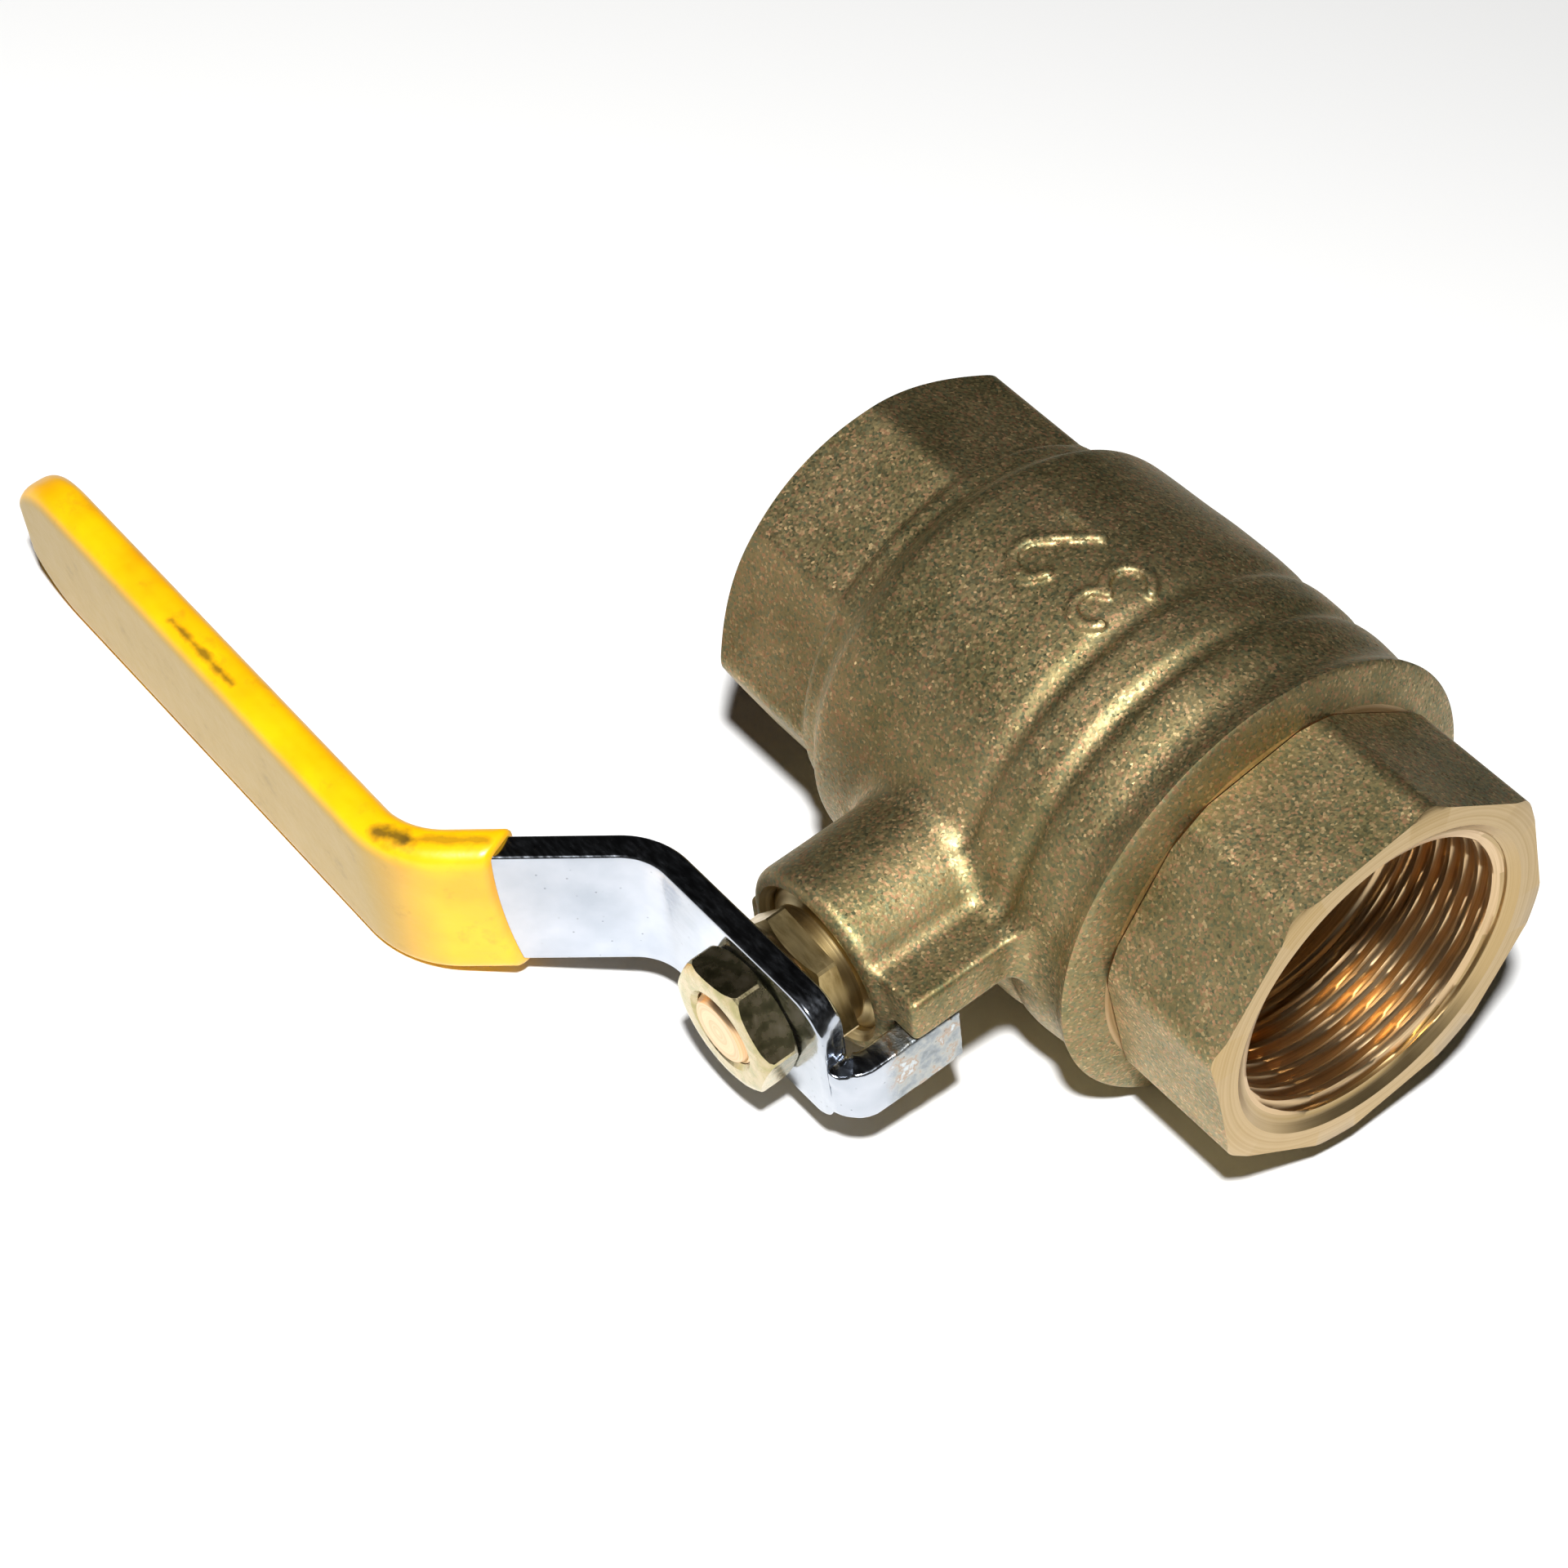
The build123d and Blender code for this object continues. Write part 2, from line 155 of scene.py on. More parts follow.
def bake_modifiers(piece: bpy.types.Object) -> None:
    """Replaces a piece's mesh by what its modifiers make of it."""
    shaped = piece.evaluated_get(bpy.context.evaluated_depsgraph_get())
    mesh = bpy.data.meshes.new_from_object(shaped)
    piece.modifiers.clear()
    piece.data = mesh


def shade(piece: bpy.types.Object, degrees: float) -> None:
    """Shades a piece smooth, with an edge wherever its faces turn by more than the given angle."""
    piece.data.shade_smooth()
    piece.data.set_sharp_from_angle(angle=math.radians(degrees))


def face_centres(mesh: bpy.types.Mesh) -> Array:
    """Returns each face's centre in the valve's own axes, in mm."""
    centres = np.empty(len(mesh.polygons) * 3)
    mesh.polygons.foreach_get("center", centres)
    x, y, z = centres.reshape(-1, 3).T / MM
    c, s = math.cos(DIP), math.sin(DIP)
    return np.column_stack((x, y * c + z * s, z * c - y * s))


# ---------------------------------------------------------------- turned forms
@dataclass(frozen=True)
class Thread:
    """A right-handed screw thread on a turned form, in mm.

    Attributes:
        pitch: Distance between turns.
        crest: Radius of a full turn's top, on the metal's side.
        root: Radius at the bottom of the groove.
        start: Where the grooves begin along the axis.
        end: Where they end.
        run_out: Length over which the groove fades at the end.
    """

    pitch: float
    crest: float
    root: float
    start: float
    end: float
    run_out: float = 0.0

    def radius(self, along: float, angles: Array) -> Array:
        """Radius of the threaded surface.

        Args:
            along: Place along the axis.
            angles: Angles round it.

        Returns:
            One radius for each angle.
        """
        phase = (along / self.pitch - angles / (2 * math.pi)) % 1.0
        into = np.clip(1.45 - 4.2 * np.abs(phase - 0.5), 0.0, 1.0)
        groove = into * into * (3.0 - 2.0 * into)
        left = abs(self.end - along)
        fade = min(1.0, left / self.run_out) if self.run_out else 1.0
        return self.crest + (self.root - self.crest) * groove * fade

    def rows(self, mouth: Optional[Callable[[float], float]] = None) -> list[tuple[float, Array]]:
        """Rings that follow the thread.

        Args:
            mouth: A countersink's radius along the axis, where the bore is at least that wide.

        Returns:
            Pairs of place along the axis and radii round it.
        """
        angles = ring_angles()
        count = max(2, round(abs(self.end - self.start) / self.pitch * 12))
        rings = []
        for along in np.linspace(self.start, self.end, count + 1):
            radii = self.radius(float(along), angles)
            if mouth is not None:
                radii = np.maximum(radii, mouth(float(along)))
            rings.append((float(along), radii))
        return rings


def ring_angles() -> Array:
    """Returns the angles of the facets round a turned form."""
    return np.arange(SEGMENTS) * (2 * math.pi / SEGMENTS)


def plain_rows(outline: Sequence[tuple[float, float]]) -> list[tuple[float, Array]]:
    """Turns an outline of (along, radius) corners into rings."""
    return [(along, np.full(SEGMENTS, radius)) for along, radius in outline]


def turned(name: str, rows: Sequence[tuple[float, Array]], spin: Spin, finishes: Sequence[bpy.types.Material],
           bored: bool = True, slot: int = 0) -> bpy.types.Object:
    """Makes a closed turned solid from rings.

    Args:
        name: The piece's name.
        rows: Rings in order along the outline.
        spin: The axis it is turned about.
        finishes: The materials of its slots.
        bored: True if the outline is a loop round a through bore, False if it ends on the axis twice.
        slot: The slot of every face.

    Returns:
        The turned piece.
    """
    angles = ring_angles()
    rings = []
    for along, radii in rows:
        if spin is Spin.PIPE:
            rings.append(np.column_stack((np.full(SEGMENTS, along), radii * np.cos(angles), radii * np.sin(angles))))
        else:
            rings.append(np.column_stack((radii * np.cos(angles), np.full(SEGMENTS, -along), radii * np.sin(angles))))
    points, faces = loft(np.array(rings), closed=bored)
    return new_piece(name, points, faces, finishes, slot)


def loft(rings: Array, closed: bool) -> tuple[Array, list]:
    """Joins rings of equal point count with quads.

    Args:
        rings: Array of rings, points and coordinates.
        closed: True if the last ring joins the first, False if the two end rings are capped.

    Returns:
        The points and the faces.
    """
    count, around = rings.shape[:2]
    index = np.arange(count * around).reshape(count, around)
    first = index if closed else index[:-1]
    after = np.roll(index, -1, axis=0) if closed else index[1:]
    quads = np.stack((first, np.roll(first, -1, axis=1), np.roll(after, -1, axis=1), after), axis=-1)
    faces = quads.reshape(-1, 4).tolist()
    if not closed:
        faces += [index[0, ::-1].tolist(), index[-1].tolist()]
    return rings.reshape(-1, 3), faces


# ---------------------------------------------------------------- forged forms
def fuse(a: Array, b: Array, reach: float) -> Array:
    """Joins two solids' depths with a fillet about reach mm wide."""
    near = np.clip(reach - np.abs(a - b), 0.0, None)
    return np.minimum(a, b) - near * near / (4.0 * reach)


def trim(a: Array, b: Array, reach: float) -> Array:
    """Keeps what two solids share, with an edge rounded over about reach mm."""
    near = np.clip(reach - np.abs(a - b), 0.0, None)
    return np.maximum(a, b) + near * near / (4.0 * reach)


def octagon(points: Array, half_flats: float, corner: float, reach: float) -> Array:
    """Depth inside an octagonal bar along the pipe.

    Args:
        points: Positions in mm.
        half_flats: Half the width across flats.
        corner: Angle of one corner from the stem, in radians.
        reach: Width of the rounding between flats.

    Returns:
        Signed distances, negative inside.
    """
    y, z = points[:, 1], points[:, 2]
    sector = math.pi / 4
    off = (np.arctan2(z, -y) - corner) % sector - sector / 2
    radius = np.hypot(y, z)
    return trim(radius * np.cos(off) - half_flats, radius * np.cos(sector - np.abs(off)) - half_flats, reach)


def block(points: Array, low: Sequence[float], high: Sequence[float], reach: float) -> Array:
    """Depth inside a box between two corners, its edges rounded over reach mm."""
    middle = (np.array(low) + np.array(high)) / 2
    over = np.abs(points - middle) - (np.array(high) - np.array(low)) / 2
    return trim(trim(over[:, 0], over[:, 1], reach), over[:, 2], reach)


@dataclass(frozen=True)
class Profile:
    """A smooth radius along the pipe through a few points, in mm."""

    knots: tuple[tuple[float, float], ...]

    def sampled(self) -> tuple[Array, Array]:
        """Returns places and radii every 0.1 mm, on a curve that never overshoots its points."""
        x, r = np.array(self.knots).T
        step = np.diff(x)
        rise = np.diff(r) / step
        bend = np.zeros(len(x))
        same_way = rise[:-1] * rise[1:] > 0
        bend[1:-1][same_way] = 2.0 / (1.0 / rise[:-1][same_way] + 1.0 / rise[1:][same_way])
        fine = np.arange(x[0], x[-1], 0.1)
        k = np.clip(np.searchsorted(x, fine, side="right") - 1, 0, len(step) - 1)
        u = (fine - x[k]) / step[k]
        curve = ((1 + 2 * u) * (1 - u) ** 2 * r[k] + u * (1 - u) ** 2 * step[k] * bend[k]
                 + u * u * (3 - 2 * u) * r[k + 1] + u * u * (u - 1) * step[k] * bend[k + 1])
        return fine, curve


def skin(depth: Callable[[Array], Array], low: Sequence[float], high: Sequence[float],
         cell: float) -> tuple[Array, list]:
    """Meshes the surface of a solid given by its depth, then draws the points onto it exactly.

    Args:
        depth: Signed distance of positions in mm, negative inside.
        low: Lowest corner of the space to search.
        high: Highest corner.
        cell: Width of the grid's cells.

    Returns:
        The points and the quads.
    """
    axes = [np.arange(a, b + cell, cell) for a, b in zip(low, high)]
    values = np.empty([len(a) for a in axes])
    flat_y, flat_z = (g.ravel() for g in np.meshgrid(axes[1], axes[2], indexing="ij"))
    for i, x in enumerate(axes[0]):
        values[i] = depth(np.column_stack((np.full(flat_y.size, x), flat_y, flat_z))).reshape(values.shape[1:])
    inside = values < 0
    corners = [(i, j, k) for i in (0, 1) for j in (0, 1) for k in (0, 1)]
    size = [n - 1 for n in values.shape]
    filled = sum(inside[i:i + size[0], j:j + size[1], k:k + size[2]].astype(np.int8) for i, j, k in corners)
    cells = np.argwhere((filled > 0) & (filled < 8))
    number = np.full(size, -1)
    number[tuple(cells.T)] = np.arange(len(cells))
    total, crossings = np.zeros((len(cells), 3)), np.zeros(len(cells))
    for axis in range(3):
        for side in ((0, 0), (0, 1), (1, 0), (1, 1)):
            start = np.insert(np.array(side), axis, 0)
            end = np.insert(np.array(side), axis, 1)
            a, b = values[tuple((cells + start).T)], values[tuple((cells + end).T)]
            cross = (a < 0) != (b < 0)
            share = np.where(cross, a / np.where(cross, a - b, 1.0), 0.0)
            total += np.where(cross[:, None], start + share[:, None] * (end - start), 0.0)
            crossings += cross
    points = np.array([a[0] for a in axes]) + cell * (cells + total / crossings[:, None])
    quads = []
    for axis in range(3):
        u, v = [np.eye(3, dtype=int)[k] for k in range(3) if k != axis]
        here = [slice(1, -1)] * 3
        there = [slice(1, -1)] * 3
        here[axis], there[axis] = slice(0, -1), slice(1, None)
        changes = np.argwhere(inside[tuple(here)] != inside[tuple(there)]) + (1 - np.eye(3, dtype=int)[axis])
        leaving = inside[tuple(changes.T)]
        around = np.stack([number[tuple((changes - s).T)] for s in (u + v, v, 0 * u, u)], axis=-1)
        around[leaving == (axis != 1)] = around[leaving == (axis != 1)][:, ::-1]
        quads.append(around)
    faces = np.concatenate(quads)
    edges = np.concatenate([faces[:, [i, (i + 1) % 4]] for i in range(4)])
    ties = np.bincount(edges.ravel(), minlength=len(points))[:, None]
    for _ in range(3):
        pulled = np.column_stack([
            np.bincount(edges[:, 0], points[edges[:, 1], k], len(points))
            + np.bincount(edges[:, 1], points[edges[:, 0], k], len(points)) for k in range(3)]) / ties
        points = draw_to_surface(depth, 0.5 * points + 0.5 * pulled, cell)
    return points, faces.tolist()


def draw_to_surface(depth: Callable[[Array], Array], points: Array, cell: float) -> Array:
    """Moves points along the depth's gradient until they lie on the surface.

    Args:
        depth: Signed distance function.
        points: Positions near the surface.
        cell: The furthest that a point may move in one step.

    Returns:
        The moved positions.
    """
    for _ in range(2):
        here = depth(points)
        slope = np.column_stack([
            (depth(points + shift) - depth(points - shift)) / 0.04 for shift in np.eye(3) * 0.02])
        move = here / np.maximum((slope ** 2).sum(axis=1), 0.2)
        points = points - slope * np.clip(move, -cell, cell)[:, None]
    return points


# ---------------------------------------------------------------- materials
def srgb(code: str) -> tuple[float, float, float, float]:
    """Turns a hex sRGB colour into linear RGBA."""
    parts = [int(code[i:i + 2], 16) / 255 for i in (1, 3, 5)]
    return (*[p / 12.92 if p <= 0.04045 else ((p + 0.055) / 1.055) ** 2.4 for p in parts], 1.0)


def add_node(tree: bpy.types.NodeTree, kind: str, values: Optional[dict] = None,
             stops: Sequence[tuple[float, str]] = (), **settings: object) -> bpy.types.Node:
    """Adds a node with its settings, socket values and links.

    Args:
        tree: The node tree.
        kind: The node's Blender type.
        values: For an input's name or number, a constant or the socket to link from.
        stops: A colour ramp's places and hex colours.
        **settings: Attributes of the node.

    Returns:
        The new node.
    """
    node = tree.nodes.new(kind)
    for key, value in settings.items():
        setattr(node, key, value)
    for key, value in (values or {}).items():
        if isinstance(value, bpy.types.NodeSocket):
            tree.links.new(value, node.inputs[key])
        else:
            node.inputs[key].default_value = value
    for i, (place, code) in enumerate(stops):
        stop = node.color_ramp.elements[i] if i < 2 else node.color_ramp.elements.new(place)
        stop.position, stop.color = place, srgb(code)
    return node


def per_mm(size: float) -> float:
    """Returns the texture scale whose features are size mm across."""
    return 1.0 / (size * MM)


@dataclass(frozen=True)
class Finish:
    """A surface finish; each kind of finish draws its own nodes."""

    name: str

    def draw(self, tree: bpy.types.NodeTree, shader: bpy.types.Node, place: bpy.types.NodeSocket) -> None:
        """Adds the finish's nodes.

        Args:
            tree: The material's node tree.
            shader: Its Principled shader.
            place: The piece's own coordinates, in metres.
        """
        raise NotImplementedError

    def make(self) -> bpy.types.Material:
        """Builds the material."""
        material = bpy.data.materials.new(self.name)
        material.use_nodes = True
        tree = material.node_tree
        shader = tree.nodes["Principled BSDF"]
        place = add_node(tree, "ShaderNodeTexCoord").outputs["Object"]
        self.draw(tree, shader, place)
        return material


@dataclass(frozen=True)
class ForgedBrass(Finish):
    """Hot-forged brass, shot-blasted: dull olive gold, with a fine grain of dents that glint pink and green."""

    grit: float = 0.33               # mm; real dents are about 0.2 mm, drawn coarser so that they show
    roughness: float = 0.56
    tilt: float = 0.05               # how far each dent leans from the surface
    glint: float = 4.5               # how much further the few sharpest dents lean

    def draw(self, tree: bpy.types.NodeTree, shader: bpy.types.Node, place: bpy.types.NodeSocket) -> None:
        """Draws dents that each have a lean and a tint, over cloudy patches."""
        dents = add_node(tree, "ShaderNodeTexVoronoi", {"Vector": place, "Scale": per_mm(self.grit)})
        dent = add_node(tree, "ShaderNodeSeparateColor", {"Color": dents.outputs["Color"]})
        tint = add_node(tree, "ShaderNodeValToRGB", {"Fac": dent.outputs["Red"]}, stops=(
            (0.0, "#82866b"), (1.0, "#cab68e"), (0.3, "#988e6c"), (0.7, "#a4956f"), (0.88, "#b58f71")))
        clouds = add_node(tree, "ShaderNodeTexNoise", {"Vector": place, "Scale": per_mm(9), "Detail": 5.0})
        cloud = add_node(tree, "ShaderNodeValToRGB", {"Fac": clouds.outputs["Fac"]},
                         stops=((0.3, "#cdcebd"), (0.7, "#fff9f0")))
        colour = add_node(tree, "ShaderNodeMix", {"Factor": 1.0, 6: tint.outputs["Color"], 7: cloud.outputs["Color"]},
                          data_type="RGBA", blend_type="MULTIPLY")
        tree.links.new(colour.outputs[2], shader.inputs["Base Color"])
        shader.inputs["Metallic"].default_value = 1.0
        rough = add_node(tree, "ShaderNodeMapRange", {"Value": dent.outputs["Green"], "To Min": self.roughness - 0.1,
                                                      "To Max": self.roughness + 0.08})
        tree.links.new(rough.outputs["Result"], shader.inputs["Roughness"])
        grain = add_node(tree, "ShaderNodeTexNoise", {"Vector": place, "Scale": per_mm(0.5), "Detail": 1.5})
        grain_bump = add_node(tree, "ShaderNodeBump", {"Height": grain.outputs["Fac"], "Strength": 1.0,
                                                       "Distance": 0.03 * MM})
        centred = add_node(tree, "ShaderNodeVectorMath", {0: dents.outputs["Color"], 1: (-0.5, -0.5, -0.5)},
                           operation="ADD")
        sharp = add_node(tree, "ShaderNodeMapRange", {
            "Value": dent.outputs["Blue"], "From Min": 0.88, "From Max": 0.99, "To Min": 2 * self.tilt,
            "To Max": 2 * self.tilt * self.glint})
        lean = add_node(tree, "ShaderNodeVectorMath", {0: centred.outputs[0], "Scale": sharp.outputs["Result"]},
                        operation="SCALE")
        leaning = add_node(tree, "ShaderNodeVectorMath", {0: grain_bump.outputs["Normal"], 1: lean.outputs[0]},
                           operation="ADD")
        normal = add_node(tree, "ShaderNodeVectorMath", {0: leaning.outputs[0]}, operation="NORMALIZE")
        tree.links.new(normal.outputs[0], shader.inputs["Normal"])


@dataclass(frozen=True)
class TurnedBrass(Finish):
    """Brass cut on a lathe: pale, satin, with fine rings round its axis."""

    spin: Spin = Spin.PIPE
    light: str = "#cdb28a"
    dark: str = "#b3966c"
    roughness: float = 0.3
    feed: float = 0.3                # mm between tool marks; about 0.1 mm really, drawn coarser so that they show
    depth: float = 0.012             # mm from the top of a tool mark to its bottom

    def draw(self, tree: bpy.types.NodeTree, shader: bpy.types.Node, place: bpy.types.NodeSocket) -> None:
        """Draws tool marks that depend only on the distance along and from the axis."""
        axis = (1.0, 0.0, 0.0) if self.spin is Spin.PIPE else (0.0, math.cos(DIP), math.sin(DIP))
        along = add_node(tree, "ShaderNodeVectorMath", {0: place, 1: axis}, operation="DOT_PRODUCT")
        across = add_node(tree, "ShaderNodeVectorMath", {0: place, 1: axis}, operation="CROSS_PRODUCT")
        radius = add_node(tree, "ShaderNodeVectorMath", {0: across.outputs[0]}, operation="LENGTH")
        ring_place = add_node(tree, "ShaderNodeCombineXYZ", {"X": along.outputs["Value"], "Y": radius.outputs["Value"]})
        rings = add_node(tree, "ShaderNodeTexNoise", {"Vector": ring_place.outputs[0], "Scale": per_mm(self.feed),
                                                      "Detail": 3.0})
        tint = add_node(tree, "ShaderNodeValToRGB", {"Fac": rings.outputs["Fac"]},
                        stops=((0.25, self.dark), (0.75, self.light)))
        tree.links.new(tint.outputs["Color"], shader.inputs["Base Color"])
        shader.inputs["Metallic"].default_value = 1.0
        blots = add_node(tree, "ShaderNodeTexNoise", {"Vector": place, "Scale": per_mm(3.0), "Detail": 4.0})
        rough = add_node(tree, "ShaderNodeMapRange", {"Value": blots.outputs["Fac"], "To Min": self.roughness - 0.05,
                                                      "To Max": self.roughness + 0.07})
        tree.links.new(rough.outputs["Result"], shader.inputs["Roughness"])
        marks = add_node(tree, "ShaderNodeBump", {"Height": rings.outputs["Fac"], "Strength": 1.0,
                                                  "Distance": self.depth * MM})
        tree.links.new(marks.outputs["Normal"], shader.inputs["Normal"])


@dataclass(frozen=True)
class BrightZincSteel(Finish):
    """Pressed steel, bright zinc plated: nearly a mirror, with hairlines, and dull torn metal on the bent tab."""

    tab_from: float = 51.0           # mm along the stem, where the bent tab leaves the plate
    tab_to: float = 48.8
    crease_x: float = -20.4          # mm along the pipe, where the press marked the first bend
    roughness: float = 0.15

    def draw(self, tree: bpy.types.NodeTree, shader: bpy.types.Node, place: bpy.types.NodeSocket) -> None:
        """Draws film and scratches over the plating, a press mark at the bend and blotches on the tab."""
        axes = add_node(tree, "ShaderNodeSeparateXYZ", {"Vector": place})
        reach = add_node(tree, "ShaderNodeVectorMath", {0: place, 1: (0.0, -math.cos(DIP), -math.sin(DIP))},
                         operation="DOT_PRODUCT")
        torn = add_node(tree, "ShaderNodeMapRange", {
            "Value": reach.outputs["Value"], "From Min": self.tab_from * MM, "From Max": self.tab_to * MM})
        blots = add_node(tree, "ShaderNodeTexNoise", {"Vector": place, "Scale": per_mm(3.2), "Detail": 7.0,
                                                      "Roughness": 0.62})
        rust = add_node(tree, "ShaderNodeValToRGB", {"Fac": blots.outputs["Fac"]}, stops=(
            (0.3, "#6f7478"), (0.7, "#d4dce1"), (0.44, "#8f969b"), (0.53, "#a8aaa8"), (0.58, "#a58f7c"), (0.62, "#b9c0c4")))
        film = add_node(tree, "ShaderNodeTexNoise", {"Vector": place, "Scale": per_mm(8.0), "Detail": 4.0})
        plate = add_node(tree, "ShaderNodeValToRGB", {"Fac": film.outputs["Fac"]},
                         stops=((0.3, "#a4abb5"), (0.7, "#bcc1ca")))
        colour = add_node(tree, "ShaderNodeMix", {"Factor": torn.outputs["Result"], 6: plate.outputs["Color"],
                                                  7: rust.outputs["Color"]}, data_type="RGBA")
        specks = add_node(tree, "ShaderNodeTexVoronoi", {"Vector": place, "Scale": per_mm(1.5)})
        speck = add_node(tree, "ShaderNodeMapRange", {"Value": specks.outputs["Distance"], "From Min": 0.07,
                                                      "From Max": 0.1, "To Min": 0.55, "To Max": 1.0})
        spotted = add_node(tree, "ShaderNodeVectorMath", {0: colour.outputs[2], "Scale": speck.outputs["Result"]},
                           operation="SCALE")
        tree.links.new(spotted.outputs[0], shader.inputs["Base Color"])
        shader.inputs["Metallic"].default_value = 1.0
        stretched = add_node(tree, "ShaderNodeMapping", {"Vector": place, "Scale": (0.3, 1.0, 1.0)})
        hairs = add_node(tree, "ShaderNodeTexNoise", {"Vector": stretched.outputs[0], "Scale": per_mm(0.6),
                                                      "Detail": 4.0})
        rough = add_node(tree, "ShaderNodeMapRange", {"Value": hairs.outputs["Fac"], "From Min": 0.35, "From Max": 0.75,
                                                      "To Min": self.roughness - 0.04, "To Max": self.roughness + 0.1})
        rougher = add_node(tree, "ShaderNodeMath", {0: torn.outputs["Result"], 1: 0.18, 2: rough.outputs["Result"]},
                           operation="MULTIPLY_ADD")
        tree.links.new(rougher.outputs[0], shader.inputs["Roughness"])
        waves = add_node(tree, "ShaderNodeBump", {"Height": film.outputs["Fac"], "Strength": 1.0, "Distance": 0.05 * MM})
        off = add_node(tree, "ShaderNodeMath", {0: axes.outputs["X"], 1: -self.crease_x * MM}, operation="ADD")
        apart = add_node(tree, "ShaderNodeMath", {0: off.outputs[0]}, operation="ABSOLUTE")
        ridge = add_node(tree, "ShaderNodeMapRange", {"Value": apart.outputs[0], "From Max": 0.9 * MM, "To Min": 1.0,
                                                      "To Max": 0.0}, interpolation_type="SMOOTHSTEP")
        crease = add_node(tree, "ShaderNodeBump", {"Height": ridge.outputs["Result"], "Strength": 1.0,
                                                   "Normal": waves.outputs["Normal"], "Distance": 0.06 * MM})
        tear = add_node(tree, "ShaderNodeMath", {0: torn.outputs["Result"], 1: blots.outputs["Fac"]},
                        operation="MULTIPLY")
        tears = add_node(tree, "ShaderNodeBump", {"Height": tear.outputs[0], "Normal": crease.outputs["Normal"],
                                                  "Strength": 1.0, "Distance": 0.35 * MM})
        tree.links.new(tears.outputs["Normal"], shader.inputs["Normal"])


@dataclass(frozen=True)
class YellowZincSteel(Finish):
    """Steel nut, zinc plated and yellow passivated: bright, with pale straw and green tints."""

    roughness: float = 0.24

    def draw(self, tree: bpy.types.NodeTree, shader: bpy.types.Node, place: bpy.types.NodeSocket) -> None:
        """Draws the passivation's uneven film."""
        film = add_node(tree, "ShaderNodeTexNoise", {"Vector": place, "Scale": per_mm(1.6), "Detail": 5.0})
        tint = add_node(tree, "ShaderNodeValToRGB", {"Fac": film.outputs["Fac"]},
                        stops=((0.28, "#969068"), (0.72, "#c2b494"), (0.42, "#a89f74"), (0.55, "#b7a984")))
        tree.links.new(tint.outputs["Color"], shader.inputs["Base Color"])
        shader.inputs["Metallic"].default_value = 1.0
        rough = add_node(tree, "ShaderNodeMapRange", {"Value": film.outputs["Fac"], "To Min": self.roughness - 0.08,
                                                      "To Max": self.roughness + 0.14})
        tree.links.new(rough.outputs["Result"], shader.inputs["Roughness"])
        marks = add_node(tree, "ShaderNodeTexNoise", {"Vector": place, "Scale": per_mm(0.5), "Detail": 3.0})
        dents = add_node(tree, "ShaderNodeBump", {"Height": marks.outputs["Fac"], "Strength": 0.6,
                                                  "Distance": 0.05 * MM})
        tree.links.new(dents.outputs["Normal"], shader.inputs["Normal"])


